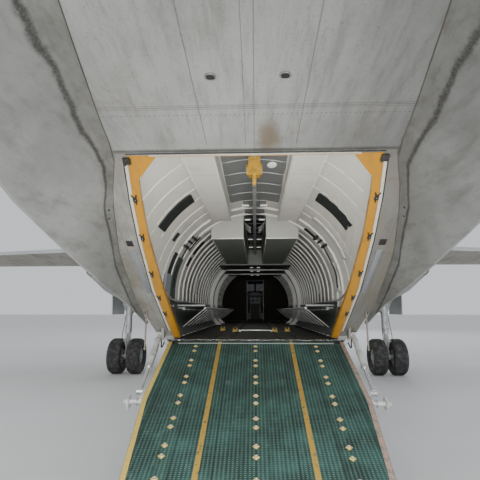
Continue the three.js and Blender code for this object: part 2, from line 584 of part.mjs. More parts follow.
// Wing stations: distance from the centre line, leading edge, height, chord, thickness share
const INCIDENCE = rad(3);
const ROOT = { x: 0, leadY: 3750, z: 3700, chord: 3500, thick: 0.17, camber: CAMBER };
const JOINT = { ...ROOT, x: 4700 };
const TIP = { x: SPAN / 2, leadY: 1960, z: 3320, chord: 1095, thick: 0.13, camber: CAMBER };
const mixStation = (from, to, x) => {
  const share = (x - from.x) / (to.x - from.x);
  const made = {};
  for (const key of Object.keys(from)) made[key] = from[key] + (to[key] - from[key]) * share;
  return made;
};
function wingPlace(station, sign) {
  return (c, t) => [sign * station.x, station.leadY - c * Math.cos(INCIDENCE) + t * Math.sin(INCIDENCE),
    station.z - c * Math.sin(INCIDENCE) + t * Math.cos(INCIDENCE)];
}
const wingPiece = (stations, from, to, sign) => loft(stations.map((station) => ({
  outline: aerofoil(station, from, to), place: wingPlace(station, sign) })));
const grownWing = (stations, grow) => loft(stations.map((station) => ({
  outline: aerofoil(station, 0, 1).map(([c, t], k, all) => [c + (c > station.chord / 2 ? grow : -grow),
    t + (k < all.length / 2 ? grow : -grow)]), place: wingPlace(station, 1) })));
const centreWing = wingPiece([{ ...JOINT, x: -JOINT.x }, { ...JOINT }], 0, 1, 1);
add(mesh('wing_center', centreWing.subtract(barrelGrown), TONE.skin));

// Control surfaces hinge on lugs that reach into a notch in their nose
const LUG = { half: 18, notchHalf: 27, tall: 12, pin: 10, bore: 11, past: 30, overlap: 30 };
function hingeLine(start, end, noseRadius, reach) {
  const a = new THREE.Vector3(...start);
  const b = new THREE.Vector3(...end);
  const along = b.clone().sub(a).normalize();
  const aftward = new THREE.Vector3(0, -1, 0);
  aftward.addScaledVector(along, -aftward.dot(along)).normalize();
  const up = new THREE.Vector3().crossVectors(along, aftward);
  const turn = new THREE.Matrix4().makeBasis(along, aftward, up);
  const block = (share, length, aftFrom, aftTo, height) => {
    const at = a.clone().lerp(b, share).addScaledVector(aftward, (aftFrom + aftTo) / 2);
    return solidOf(new THREE.BoxGeometry(length, aftTo - aftFrom, height),
      turn.clone().setPosition(at));
  };
  const bar = (share, half, radius) => {
    const at = (reachAlong) => a.clone().lerp(b, share).addScaledVector(along, reachAlong).toArray();
    return rod(at(-half), at(half), radius, 8);
  };
  return { block, bar, noseRadius, reach };
}
const LUG_SHARES = [0.15, 0.85];
function hangSurface(fixed, surface, line) {
  let [made, moving] = [fixed, surface];
  for (const share of LUG_SHARES) {
    made = made.add(line.block(share, LUG.half * 2, -line.reach - LUG.overlap, 14, LUG.tall * 2))
      .add(line.bar(share, LUG.notchHalf + 18, LUG.pin));
    moving = moving.subtract(line.block(share, LUG.notchHalf * 2, -line.noseRadius - 20, LUG.past, 600))
      .subtract(line.bar(share, LUG.notchHalf + 20, LUG.bore));
  }
  return [made, moving];
}

// A surface's outline: round nose about the hinge, then straight to the trailing edge
const TRAILING_HALF = 4;
function surfaceOutline(station, hinge, radius, trailing = station.chord, edge = TRAILING_HALF) {
  const steps = 6;
  const nose = [];
  const centre = hinge * station.chord;
  const lift = station.chord * station.camber * 4 * hinge * (1 - hinge) || 0;
  for (let k = 0; k <= steps; k++) {
    const angle = Math.PI / 2 + Math.PI * k / steps;
    nose.push([centre + radius * Math.cos(angle), lift + radius * Math.sin(angle)]);
  }
  return [...nose, [trailing, -edge], [trailing, edge]];
}

// The hollow inside a surface, open at its root end, with solid ribs left around the hinges
const RIB = { half: 60, past: 55 };
const noseAt = (station, hinge) => station.chord * station.thick * halfThickness(hinge);
function surfaceHollow(stations, hinge, wall, place, line) {
  let hollow = loft(stations.map((station) => {
    const radius = noseAt(station, hinge);
    const centre = hinge * station.chord;
    const end = centre + (station.chord - centre) * (radius - wall) / radius;
    return { outline: surfaceOutline(station, hinge, radius - wall, end, 1), place: place(station) };
  }));
  for (const share of LUG_SHARES) {
    hollow = hollow.subtract(line.block(share, RIB.half * 2, -line.noseRadius - 20, RIB.past, 600));
  }
  return hollow;
}

// Outer wings, flaps and ailerons
const SPLIT = 0.71;
const HINGE_SHARE = 0.755;
const FLAP_OUT = 9300;
const AILERON_IN = FLAP_OUT + SWING;
const AILERON_OUT = SPAN / 2 - 40;
const wingJointMade = mixStation(JOINT, TIP, JOINT.x + SEAT);
for (const { name, sign } of SIDES) {
  let main = wingPiece([wingJointMade, TIP], 0, SPLIT, sign);
  const inner = mixStation(JOINT, TIP, AILERON_IN);
  const outer = mixStation(JOINT, TIP, AILERON_OUT);
  const point = (station) => wingPlace(station, sign)(HINGE_SHARE * station.chord,
    station.chord * CAMBER * 4 * HINGE_SHARE * (1 - HINGE_SHARE));
  const rings = [inner, outer].map((station) => ({
    outline: surfaceOutline(station, HINGE_SHARE, noseAt(station, HINGE_SHARE)),
    place: wingPlace(station, sign),
  }));
  const line = hingeLine(point(inner), point(outer), noseAt(inner, HINGE_SHARE),
    (HINGE_SHARE - SPLIT) * inner.chord);
  let aileron = loft(rings);
  [main, aileron] = hangSurface(main, aileron, line);
  add(mesh(`wing_${name}`, main, TONE.skin), mesh(`aileron_${name}`, aileron, TONE.skin));
  const flapStations = [mixStation(JOINT, TIP, JOINT.x + SEAT), mixStation(JOINT, TIP, FLAP_OUT)];
  const flap = loft(flapStations.map((station) => {
    const frontEdge = station.chord * (SPLIT + 0.01);
    const outline = aerofoil(station, SPLIT, 1).map(([c, t]) => [c < frontEdge ? c + SEAT : c, t]);
    return { outline, place: wingPlace(station, sign) };
  }));
  add(mesh(`flap_${name}`, flap, TONE.skin));
}

// Nacelles: distance ahead of the origin, top, bottom and half width
const NACELLE_X = 3950;
const SHAFT_Z = 3177;
const NACELLE_ROWS = [
  { y: 6180, top: 3577, bottom: 2777, half: 400 },
  { y: 6080, top: 3625, bottom: 2729, half: 440 },
  { y: 5700, top: 3700, bottom: 2630, half: 500 },
  { y: 4900, top: 3760, bottom: 2510, half: 560 },
  { y: 3750, top: 3800, bottom: 2400, half: 575 },
  { y: 2400, top: 3790, bottom: 2260, half: 565 },
  { y: 1300, top: 3720, bottom: 2230, half: 530 },
  { y: 400, top: 3560, bottom: 2370, half: 440 },
  { y: -400, top: 3290, bottom: 2570, half: 300 },
  { y: -1060, top: 3030, bottom: 2700, half: 160 },
];
const NACELLE_STEPS = 18;
const NACELLE_POWER = 0.86;
function nacelleRing({ top, bottom, half }, inset = 0) {
  const outline = [];
  const squared = (value) => Math.sign(value) * Math.abs(value) ** NACELLE_POWER;
  for (let k = 0; k < NACELLE_STEPS; k++) {
    const angle = 2 * Math.PI * k / NACELLE_STEPS;
    outline.push([
      NACELLE_X + (half - inset) * squared(Math.cos(angle)),
      (top + bottom) / 2 + ((top - bottom) / 2 - inset) * squared(Math.sin(angle)),
    ]);
  }
  return outline;
}
const COWL_WALL = 45;
const FIREWALL_Y = 3800;
const cowlRows = NACELLE_ROWS.filter((row) => row.y >= FIREWALL_Y - 200);
const PROP_Y = 6400;
const GEAR = { y: 1950, x: NACELLE_X, tyre: 525, width: 400, gap: 180, axle: 55 };
const DOOR = { front: GEAR.y + 900, back: GEAR.y - 350, top: 2330, thick: 22, drop: 560, offset: 430 };
const ENGINE = { radius: 345, front: 5980, back: FIREWALL_Y + SEAT, z: 3140 };
const DUCT_ROWS = NACELLE_ROWS.filter((row) => row.y <= 1300);
const DUCT_TOP = 3320;
const WELL = { half: 390, back: GEAR.y - 300, front: GEAR.y + 850, top: 3150 };
const wheelWell = (sign, gap) => {
  const half = WELL.half - gap;
  return box(sign * (NACELLE_X - half), sign * (NACELLE_X + half), WELL.back + gap, WELL.front - gap,
    2000, WELL.top - gap);
};
for (const { name, sign } of SIDES) {
  const ring = (row, inset) => ({ outline: mirrored(nacelleRing(row, inset), sign), place: across(row.y) });
  const body = loft(NACELLE_ROWS.map((row) => ring(row, 0)));
  const mouthRow = { ...NACELLE_ROWS[0], y: NACELLE_ROWS[0].y + 10 };
  const hollow = loft([mouthRow, ...cowlRows.slice(1)].map((row) => ring(row, COWL_WALL)))
    .intersect(box(sign * 3000, sign * 5000, FIREWALL_Y, 6300, 2000, 4500));
  const wingGrown = grownWing([{ ...JOINT, x: -JOINT.x - 50 }, { ...JOINT, x: JOINT.x + 50 }], SEAT);
  const ductRows = [...DUCT_ROWS.slice(0, -1), { ...DUCT_ROWS.at(-1), y: DUCT_ROWS.at(-1).y - 10 }];
  const duct = loft(ductRows.map((row) => ring(row, COWL_WALL)))
    .intersect(box(sign * 3000, sign * 5000, -2000, 2000, 2000, DUCT_TOP));
  let nacelle = body.subtract(hollow).subtract(duct).subtract(wheelWell(sign, 0)).subtract(wingGrown);
  for (const leaf of [-1, 1]) {
    const x = sign * NACELLE_X + leaf * DOOR.offset;
    const low = DOOR.top - DOOR.drop;
    const door = plate([[DOOR.front, DOOR.top], [DOOR.front - 60, low], [DOOR.back + 60, low],
      [DOOR.back, DOOR.top]], x - DOOR.thick / 2, x + DOOR.thick / 2);
    const hingeBar = box(x - DOOR.thick / 2, x + DOOR.thick / 2, DOOR.back, DOOR.front,
      DOOR.top - 10, DOOR.top + 230);
    nacelle = nacelle.add(door).add(hingeBar);
  }
  add(mesh(`nacelle_${name}`, nacelle, TONE.skin));
  const engineX = sign * NACELLE_X;
  const engine = rod([engineX, ENGINE.back, ENGINE.z], [engineX, ENGINE.front, ENGINE.z],
    ENGINE.radius, 20);
  add(mesh(`engine_${name}`, engine, TONE.engine));
}

// Propellers: hub, four twisted blades and spinner, turning about Y
const BLADE_ROWS = [
  { radius: 90, chord: 120, thick: 1, pitch: 60 },
  { radius: 330, chord: 130, thick: 0.8, pitch: 58 },
  { radius: 620, chord: 300, thick: 0.2, pitch: 48 },
  { radius: 1150, chord: 360, thick: 0.11, pitch: 33 },
  { radius: 1650, chord: 330, thick: 0.08, pitch: 24 },
  { radius: 1950, chord: 230, thick: 0.07, pitch: 20 },
];
const SPINNER = [[0, 470], [120, 430], [220, 320], [290, 170], [315, 0], [315, -150], [0, -150]];
const BLADE_SIDES = 8;
function blade(turn) {
  return loft(BLADE_ROWS.map(({ radius, chord, thick, pitch }) => {
    const outline = [];
    for (let k = 0; k < BLADE_SIDES; k++) {
      const angle = 2 * Math.PI * k / BLADE_SIDES;
      outline.push([chord / 2 * Math.cos(angle), chord * thick / 2 * Math.sin(angle)]);
    }
    const lean = rad(pitch);
    const place = (u, v) => {
      const side = u * Math.cos(lean) - v * Math.sin(lean);
      const ahead = u * Math.sin(lean) + v * Math.cos(lean);
      return [radius * Math.cos(turn) - side * Math.sin(turn), ahead,
        radius * Math.sin(turn) + side * Math.cos(turn)];
    };
    return { outline, place };
  }));
}
for (const { name, sign } of SIDES) {
  const spinner = solidOf(new THREE.LatheGeometry(SPINNER.map(([r, y]) => new THREE.Vector2(r, y)), 24));
  let propeller = spinner.add(rod([0, -150, 0], [0, PROP_Y * -1 + ENGINE.front + SEAT, 0], 90, 16));
  for (let k = 0; k < 4; k++) propeller = propeller.add(blade(Math.PI / 4 + k * Math.PI / 2));
  const made = mesh(`propeller_${name}`, propeller, TONE.blade);
  made.position.set(sign * NACELLE_X, PROP_Y, SHAFT_Z);
  add(made);
}

// Wheels: tyre and hub profiles as [radius, along the axle]
const WHEEL_SIDES = 20;
function tyreProfile(rolling, width, rim) {
  const half = width / 2;
  const radius = rolling / Math.cos(Math.PI / WHEEL_SIDES);
  return [
    [rim, -half * 0.62], [rim + 20, -half * 0.86], [radius * 0.8, -half], [radius * 0.95, -half * 0.8],
    [radius, -half * 0.5], [radius, half * 0.5], [radius * 0.95, half * 0.8], [radius * 0.8, half],
    [rim + 20, half * 0.86], [rim, half * 0.62], [rim, -half * 0.62],
  ];
}
function twinHubProfile(rim, width, centre, axle) {
  const inner = centre - width * 0.3;
  const outer = centre + width * 0.3;
  return [
    [0, -outer + 30], [rim * 0.45, -outer + 30], [rim * 0.5, -outer + 60], [rim * 0.85, -outer + 60],
    [rim, -outer], [rim, -inner], [axle, -inner - 50],
    [axle, inner + 50], [rim, inner], [rim, outer], [rim * 0.85, outer - 60],
    [rim * 0.5, outer - 60], [rim * 0.45, outer - 30], [0, outer - 30],
  ];
}
const MAIN_RIM = 235;
const MAIN_CENTRE = (GEAR.width + GEAR.gap) / 2;
const AXLE_BOSS = { half: 78, radius: 95 };
const BORE_SIDES = 24;
const boreRadius = (axle) => (axle + SEAT) / Math.cos(Math.PI / BORE_SIDES);
const MAIN_STRUTS = [
  { from: [0, 0, GEAR.tyre + 40], to: [0, 0, 1350], radius: 62 },
  { from: [0, 0, 1200], to: [0, 0, WELL.top + 50], radius: 92 },
  { from: [0, 20, 1420], to: [0, 900, 2760], radius: 42 },
  { from: [-440, 0, 2760], to: [0, 0, 1700], radius: 36 },
  { from: [440, 0, 2760], to: [0, 0, 1700], radius: 36 },
];
const LINK_HALF = 25;
const TORQUE_LINKS = [
  [[-60, 1240], [-260, 1000], [-60, 700], [-60, 760], [-190, 1000], [-60, 1180]],
  [[-75, 690], [0, 690], [0, 770], [-75, 770]],
  [[-75, 1205], [0, 1205], [0, 1260], [-75, 1260]],
];
for (const { name, sign } of SIDES) {
  const x = sign * GEAR.x;
  const centre = [x, GEAR.y, GEAR.tyre];
  const hubs = turned(twinHubProfile(MAIN_RIM, GEAR.width, MAIN_CENTRE, GEAR.axle), WHEEL_SIDES, centre);
  add(mesh(`main_hubs_${name}`, hubs, TONE.hub, centre));
  for (const { place, offset } of [{ place: 'inner', offset: -sign }, { place: 'outer', offset: sign }]) {
    const at = [x + offset * MAIN_CENTRE, GEAR.y, GEAR.tyre];
    const tyre = turned(tyreProfile(GEAR.tyre, GEAR.width, MAIN_RIM + SEAT), WHEEL_SIDES, at);
    add(mesh(`main_tyre_${name}_${place}`, tyre, TONE.tyre, centre));
  }
  const legPoint = ([side, ahead, z]) => [x + side, GEAR.y + ahead, z];
  const acrossAxle = (half, radius, sides) => (
    rod(legPoint([-half, 0, GEAR.tyre]), legPoint([half, 0, GEAR.tyre]), radius, sides));
  let leg = acrossAxle(AXLE_BOSS.half, AXLE_BOSS.radius, 20);
  for (const { from, to, radius } of MAIN_STRUTS) leg = leg.add(rod(legPoint(from), legPoint(to), radius));
  const linkAt = (outline) => plate(outline.map(([y, z]) => [GEAR.y + y, z]), x - LINK_HALF, x + LINK_HALF);
  for (const outline of TORQUE_LINKS) leg = leg.add(linkAt(outline));
  leg = leg.subtract(acrossAxle(AXLE_BOSS.half + 12, boreRadius(GEAR.axle), BORE_SIDES));
  const nacelleGrown = loft(NACELLE_ROWS.map((row) => ({
    outline: mirrored(nacelleRing(row, -SEAT), sign), place: across(row.y) })))
    .subtract(wheelWell(sign, SEAT));
  add(mesh(`main_leg_${name}`, leg.subtract(nacelleGrown), TONE.steel));
}

// Nose gear: fixed housing in the belly, steered leg, twin wheels
const NOSE_GEAR = { y: 9600, tyre: 350, width: 250, gap: 150, rim: 170, axle: 38, joint: 760 };
const noseGrown = noseLoft(NOSE_SECTIONS, -SEAT);
const NOSE_DOOR = { inner: 282, outer: 300 };
const NOSE_DOOR_SHAPE = [[380, 1300], [340, 820], [-500, 820], [-540, 1300]];
let noseHousing = rod([0, NOSE_GEAR.y, NOSE_GEAR.joint], [0, NOSE_GEAR.y, 1300], 92, 20)
  .add(rod([0, NOSE_GEAR.y, 820], [0, NOSE_GEAR.y - 560, 1300], 40))
  .add(box(-NOSE_DOOR.outer, NOSE_DOOR.outer, NOSE_GEAR.y - 40, NOSE_GEAR.y + 40, 1080, 1140));
for (const { sign } of SIDES) {
  noseHousing = noseHousing.add(plate(NOSE_DOOR_SHAPE.map(([y, z]) => [NOSE_GEAR.y + y, z]),
    sign * NOSE_DOOR.inner, sign * NOSE_DOOR.outer));
}
add(mesh('nose_leg_housing', noseHousing.subtract(noseGrown), TONE.steel));
const NOSE_CENTRE = (NOSE_GEAR.width + NOSE_GEAR.gap) / 2;
const noseAxis = [0, NOSE_GEAR.y, NOSE_GEAR.tyre];
const acrossNose = (half, radius, sides) => (
  rod([-half, NOSE_GEAR.y, NOSE_GEAR.tyre], [half, NOSE_GEAR.y, NOSE_GEAR.tyre], radius, sides));
const noseLeg = rod([0, NOSE_GEAR.y, 712], [0, NOSE_GEAR.y, NOSE_GEAR.joint - 0.5], 90, 20)
  .add(rod(noseAxis, [0, NOSE_GEAR.y, 730], 50))
  .add(acrossNose(62, 68, 20))
  .subtract(acrossNose(80, boreRadius(NOSE_GEAR.axle), BORE_SIDES));
add(mesh('nose_leg', noseLeg, TONE.steel));
add(mesh('nose_hubs', turned(twinHubProfile(NOSE_GEAR.rim, NOSE_GEAR.width, NOSE_CENTRE, NOSE_GEAR.axle),
  WHEEL_SIDES, noseAxis), TONE.hub, noseAxis));
for (const { name, sign } of SIDES) {
  const at = [sign * NOSE_CENTRE, NOSE_GEAR.y, NOSE_GEAR.tyre];
  add(mesh(`nose_tyre_${name}`, turned(tyreProfile(NOSE_GEAR.tyre, NOSE_GEAR.width, NOSE_GEAR.rim + SEAT),
    WHEEL_SIDES, at), TONE.tyre, noseAxis));
}

// Tailplane: one piece through the tail with 9 degrees of dihedral, elevators behind it
const DIHEDRAL = Math.tan(rad(9));
const TAIL_ROOT = { x: 0, leadY: -8950, z: 3520, chord: 2500, thick: 0.1, camber: 0 };
const TAIL_TIP = { x: 4986, leadY: -10050, z: 3520 + 4986 * DIHEDRAL, chord: 1200, thick: 0.1, camber: 0 };
const TAIL_SPLIT = 0.64;
const TAIL_HINGE = 0.68;
const ELEVATOR_IN = 700;
const ELEVATOR_OUT = 4940;
const ELEVATOR_WALL = 16;
const OPEN_END = 10;
const tailPlace = (station, sign) => (c, t) => [sign * station.x, station.leadY - c, station.z + t];
const ringAt = (station, to, sign) => ({
  outline: aerofoil(station, 0, to), place: tailPlace(station, sign) });
const stubEnd = mixStation(TAIL_ROOT, TAIL_TIP, ELEVATOR_IN - RAKED_SWING);
const outerTail = (sign) => loft([ringAt(stubEnd, TAIL_SPLIT, sign), ringAt(TAIL_TIP, TAIL_SPLIT, sign)]);
const middleTail = (grow) => loft([[stubEnd, -1], [TAIL_ROOT, 1], [stubEnd, 1]].map(([station, sign]) => ({
  outline: aerofoil(station, 0, 1).map(([c, t], k, all) => [c + (c > station.chord / 2 ? grow : -grow),
    t + (k < all.length / 2 ? grow : -grow)]), place: tailPlace(station, sign) })));
let tailplane = middleTail(0).add(outerTail(-1)).add(outerTail(1));
const elevators = [];
for (const { name, sign } of SIDES) {
  const inner = mixStation(TAIL_ROOT, TAIL_TIP, ELEVATOR_IN);
  const outer = mixStation(TAIL_ROOT, TAIL_TIP, ELEVATOR_OUT);
  const point = (station) => tailPlace(station, sign)(TAIL_HINGE * station.chord, 0);
  const line = hingeLine(point(inner), point(outer), noseAt(inner, TAIL_HINGE),
    (TAIL_HINGE - TAIL_SPLIT) * inner.chord);
  let elevator = loft([inner, outer].map((station) => ({
    outline: surfaceOutline(station, TAIL_HINGE, noseAt(station, TAIL_HINGE)),
    place: tailPlace(station, sign),
  })));
  const hollowEnds = [ELEVATOR_IN - OPEN_END, ELEVATOR_OUT - ELEVATOR_WALL]
    .map((x) => mixStation(TAIL_ROOT, TAIL_TIP, x));
  elevator = elevator.subtract(surfaceHollow(hollowEnds, TAIL_HINGE, ELEVATOR_WALL,
    (station) => tailPlace(station, sign), line));
  [tailplane, elevator] = hangSurface(tailplane, elevator, line);
  elevators.push(mesh(`elevator_${name}`, elevator, TONE.skin));
}
const tailHollow = loft([[TAIL_TIP, -1], [TAIL_ROOT, 1], [TAIL_TIP, 1]].map(([station, sign]) => {
  const within = station.x > 0 ? mixStation(TAIL_ROOT, TAIL_TIP, TAIL_TIP.x - SKIN_WALL) : station;
  return { outline: hollowOutline(within, TAIL_SPLIT - 0.07), place: tailPlace(within, sign) };
}));
tailplane = tailplane.subtract(tailHollow).subtract(tailGrown);
add(mesh('tailplane', tailplane, TONE.skin), ...elevators);

// Fin with its long dorsal ridge, and the rudder
const FIN_ROOT = { x: 3540, leadY: -6850, chord: 4500, thick: 0.1, camber: 0 };
const FIN_TIP = { x: HEIGHT, leadY: -9930, chord: 1978.3, thick: 0.09, camber: 0 };
const RUDDER_LOW = 4230;
const RUDDER_TOP = 8500;
const RUDDER_WALL = 20;
const FIN_SPLIT = 0.63;
const FIN_HINGE = 0.67;
const finPlace = (station) => (c, t) => [t, station.leadY - c, station.x];
const finRing = (station, from, to) => ({ outline: aerofoil(station, from, to), place: finPlace(station) });
const stubTop = mixStation(FIN_ROOT, FIN_TIP, RUDDER_LOW - RAKED_SWING);
const DORSAL = { front: -2900, half: 45, meetZ: 5050 };
let fin = loft([finRing(FIN_ROOT, 0, FIN_SPLIT), finRing(FIN_TIP, 0, FIN_SPLIT)])
  .add(loft([finRing(FIN_ROOT, 0.4, 1), finRing(stubTop, 0.4, 1)]))
  .add(plate([[DORSAL.front, 3560], [-5600, 3860], [-7400, 4500], [-8150, DORSAL.meetZ],
    [-8600, DORSAL.meetZ], [-8600, 3400], [DORSAL.front, 3400]], -DORSAL.half, DORSAL.half));
const rudderLow = mixStation(FIN_ROOT, FIN_TIP, RUDDER_LOW);
const rudderTop = mixStation(FIN_ROOT, FIN_TIP, RUDDER_TOP);
const rudderPoint = (station) => finPlace(station)(FIN_HINGE * station.chord, 0);
const rudderLine = hingeLine(rudderPoint(rudderLow), rudderPoint(rudderTop), noseAt(rudderLow, FIN_HINGE),
  (FIN_HINGE - FIN_SPLIT) * rudderLow.chord);
let rudder = loft([rudderLow, rudderTop].map((station) => ({
  outline: surfaceOutline(station, FIN_HINGE, noseAt(station, FIN_HINGE)), place: finPlace(station) })));
const rudderEnds = [RUDDER_LOW - OPEN_END, RUDDER_TOP - RUDDER_WALL]
  .map((height) => mixStation(FIN_ROOT, FIN_TIP, height));
rudder = rudder.subtract(surfaceHollow(rudderEnds, FIN_HINGE, RUDDER_WALL, finPlace, rudderLine));
[fin, rudder] = hangSurface(fin, rudder, rudderLine);
const finHollowEnds = [
  { ...FIN_ROOT, x: FIN_ROOT.x - 10 }, mixStation(FIN_ROOT, FIN_TIP, HEIGHT - SKIN_WALL),
];
const finHollow = loft(finHollowEnds.map((station) => ({
  outline: hollowOutline(station, FIN_SPLIT - 0.07), place: finPlace(station) })));
fin = fin.subtract(finHollow).subtract(middleTail(SEAT)).subtract(tailGrown).subtract(barrelGrown);
add(mesh('fin', fin, TONE.skin), mesh('rudder', rudder, TONE.skin));

// Ramp, drawn level in its own frame about the hinge and turned down to its slope
const DECK = { top: HINGE.radius, start: -68, rootLow: -40, deepAt: -900, deepLow: -45, toeLow: 15 };
const rampSide = [[DECK.start, DECK.top], [DECK.start, DECK.rootLow], [DECK.deepAt, DECK.deepLow],
  [-RAMP.length + 260, DECK.deepLow + 15], [-RAMP.length, DECK.toeLow], [-RAMP.length, DECK.top]];
const rampPlan = [[-RAMP.half, DECK.start], [RAMP.half, DECK.start], [RAMP.half, -RAMP.taperFrom],
  [RAMP.toeHalf, -RAMP.length], [-RAMP.toeHalf, -RAMP.length], [-RAMP.half, -RAMP.taperFrom]];
const rampPrism = loft([-200, 200].map((z) => ({ outline: rampPlan, place: (x, y) => [x, y, z] })));
let ramp = plate(rampSide, -RAMP.half - 10, RAMP.half + 10).intersect(rampPrism)
  .add(rod([-HINGE.half, 0, 0], [HINGE.half, 0, 0], HINGE.radius, 24))
  .add(box(-HINGE.half + 60, HINGE.half - 60, DECK.start - 20, 0, -30, 30));
const OUTRIGGER = { along: 1330, reach: 1380, up: 0, radius: 22, roller: 36, rollerWide: 34 };
const BOSS_END = RAM.x - EYE.half - 0.5;
for (const { sign } of SIDES) {
  const acrossRamp = (from, to, along, up, radius, sides) => (
    rod([sign * from, -along, up], [sign * to, -along, up], radius, sides));
  const pinBore = acrossRamp(HINGE.half + 5, HINGE.half - HINGE.pinDepth - 8, 0, 0,
    HINGE.pin + 1.5, BORE_SIDES);
  const side = RAMP.half - 30;
  ramp = ramp.subtract(pinBore)
    .add(acrossRamp(side, BOSS_END, RAM.eyeAlong, RAM.eyeUp, 34))
    .add(acrossRamp(side, OUTRIGGER.reach, OUTRIGGER.along, OUTRIGGER.up, OUTRIGGER.radius))
    .add(acrossRamp(OUTRIGGER.reach - OUTRIGGER.rollerWide, OUTRIGGER.reach, OUTRIGGER.along, OUTRIGGER.up,
      OUTRIGGER.roller, 20));
}
const rampGroup = new THREE.Group();
rampGroup.position.set(0, HINGE.y, HINGE.z);
rampGroup.rotation.x = rad(RAMP.slope);
rampGroup.add(mesh('ramp_deck', ramp, TONE.deck));
add(rampGroup);

// Ramp cylinders in the pose of the lowered ramp
const slope = rad(RAMP.slope);
const pivot = [tailY(RAM.pivotAft), RAM.pivotZ];
const eye = [HINGE.y - RAM.eyeAlong * Math.cos(slope) - RAM.eyeUp * Math.sin(slope),
  HINGE.z - RAM.eyeAlong * Math.sin(slope) + RAM.eyeUp * Math.cos(slope)];
const reach = Math.hypot(eye[0] - pivot[0], eye[1] - pivot[1]);
const ramAngle = Math.atan2(eye[1] - pivot[1], -(eye[0] - pivot[0]));
const BARREL_END = 610;
const ROD_IN = 190;
for (const { name, sign } of SIDES) {
  const x = sign * RAM.x;
  const barrelSolid = rod([0, -30, 0], [0, -BARREL_END, 0], RAM.barrel, 20)
    .add(rod([-EYE.half, 0, 0], [EYE.half, 0, 0], EYE.radius, 24))
    .subtract(rod([-EYE.half - 5, 0, 0], [EYE.half + 5, 0, 0], EYE.bore, 24))
    .subtract(rod([0, -BARREL_END - 5, 0], [0, -EYE.radius - 30, 0], RAM.rod + 1.2, 24));
  const rodSolid = rod([0, -reach + 25, 0], [0, -BARREL_END + ROD_IN, 0], RAM.rod, 20)
    .add(rod([-EYE.half, -reach, 0], [EYE.half, -reach, 0], 34, 24));
  const ramGroup = new THREE.Group();
  ramGroup.position.set(x, pivot[0], pivot[1]);
  ramGroup.rotation.x = -ramAngle;
  ramGroup.add(mesh(`ramp_barrel_${name}`, barrelSolid, TONE.steel));
  ramGroup.add(mesh(`ramp_rod_${name}`, rodSolid, TONE.steel));
  add(ramGroup);
}

export default plane;
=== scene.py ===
"""Finish of a high-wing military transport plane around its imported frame.

Metres, in the frame of the plane: +Y is the nose, +X the right wing, +Z up.
"""

import math

import bmesh
import bpy
from bpy.props import FloatProperty, FloatVectorProperty, IntProperty, PointerProperty
from mathutils import Matrix, Vector


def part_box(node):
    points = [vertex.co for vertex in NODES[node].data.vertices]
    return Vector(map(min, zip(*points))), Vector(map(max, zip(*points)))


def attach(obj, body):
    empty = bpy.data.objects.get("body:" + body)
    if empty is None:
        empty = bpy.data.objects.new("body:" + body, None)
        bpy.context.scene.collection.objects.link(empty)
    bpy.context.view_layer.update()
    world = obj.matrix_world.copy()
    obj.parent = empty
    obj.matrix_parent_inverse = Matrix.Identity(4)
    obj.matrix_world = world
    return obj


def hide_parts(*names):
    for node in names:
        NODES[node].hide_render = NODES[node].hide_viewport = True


bl_info = {
    "name": "Transport Plane Finish",
    "version": (1, 0, 0),
    "blender": (4, 5, 0),
    "location": "View3D > Sidebar > Plane",
    "description": "Builds the lining, fittings, wheels and finishes of a military transport plane",
    "category": "Add Mesh",
}

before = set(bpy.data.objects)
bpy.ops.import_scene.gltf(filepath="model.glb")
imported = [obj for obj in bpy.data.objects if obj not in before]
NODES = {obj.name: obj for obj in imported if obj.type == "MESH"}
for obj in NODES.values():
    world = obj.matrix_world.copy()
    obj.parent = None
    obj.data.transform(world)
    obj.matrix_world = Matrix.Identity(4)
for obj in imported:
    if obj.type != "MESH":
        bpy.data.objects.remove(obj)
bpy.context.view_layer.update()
AIRFRAME = "airframe"
SIDES = (("left", -1), ("right", 1))
LEFT_AND_RIGHT = (-1, 1)

# Fuselage section and the places along it, as the frame has them
SILL_Y = -5.0
HOLD_FRONT = 6.3
WALL = 0.055
FLOOR_Z = 1.47
LOBE_POWER = 3.0
BARREL = {"top": 3.62, "bottom": 1.12, "waist": 2.17, "half": 1.45}
# Distance aft of the sill, then the crown's height, the waist's height and the half width of the tail
TAIL_ROWS = ((0.0, 3.62, 2.17, 1.45), (1.2, 3.62, 2.175, 1.44), (2.0, 3.618, 2.185, 1.415),
             (2.8, 3.61, 2.2, 1.37), (2.95, 3.609, 2.225, 1.352), (3.6, 3.6, 2.33, 1.25),
             (4.4, 3.58, 2.56, 1.06), (5.2, 3.545, 2.85, 0.82))
HATCH_RUN = 2.8
HATCH_SILL_Z = 1.492
HATCH_TOP_Z = 3.042
HATCH_SLOPE = (HATCH_TOP_Z - HATCH_SILL_Z) / HATCH_RUN
CONE_SLOPE = 0.1
# Distance aft, then the hatch's half width and the width of its amber bar
HATCH_ROWS = ((-0.02, 1.118, 0.090), (0.4, 1.130, 0.096), (1.15, 1.140, 0.100), (1.9, 1.090, 0.074),
              (2.38, 1.036, 0.070), (2.8, 0.968, 0.068))
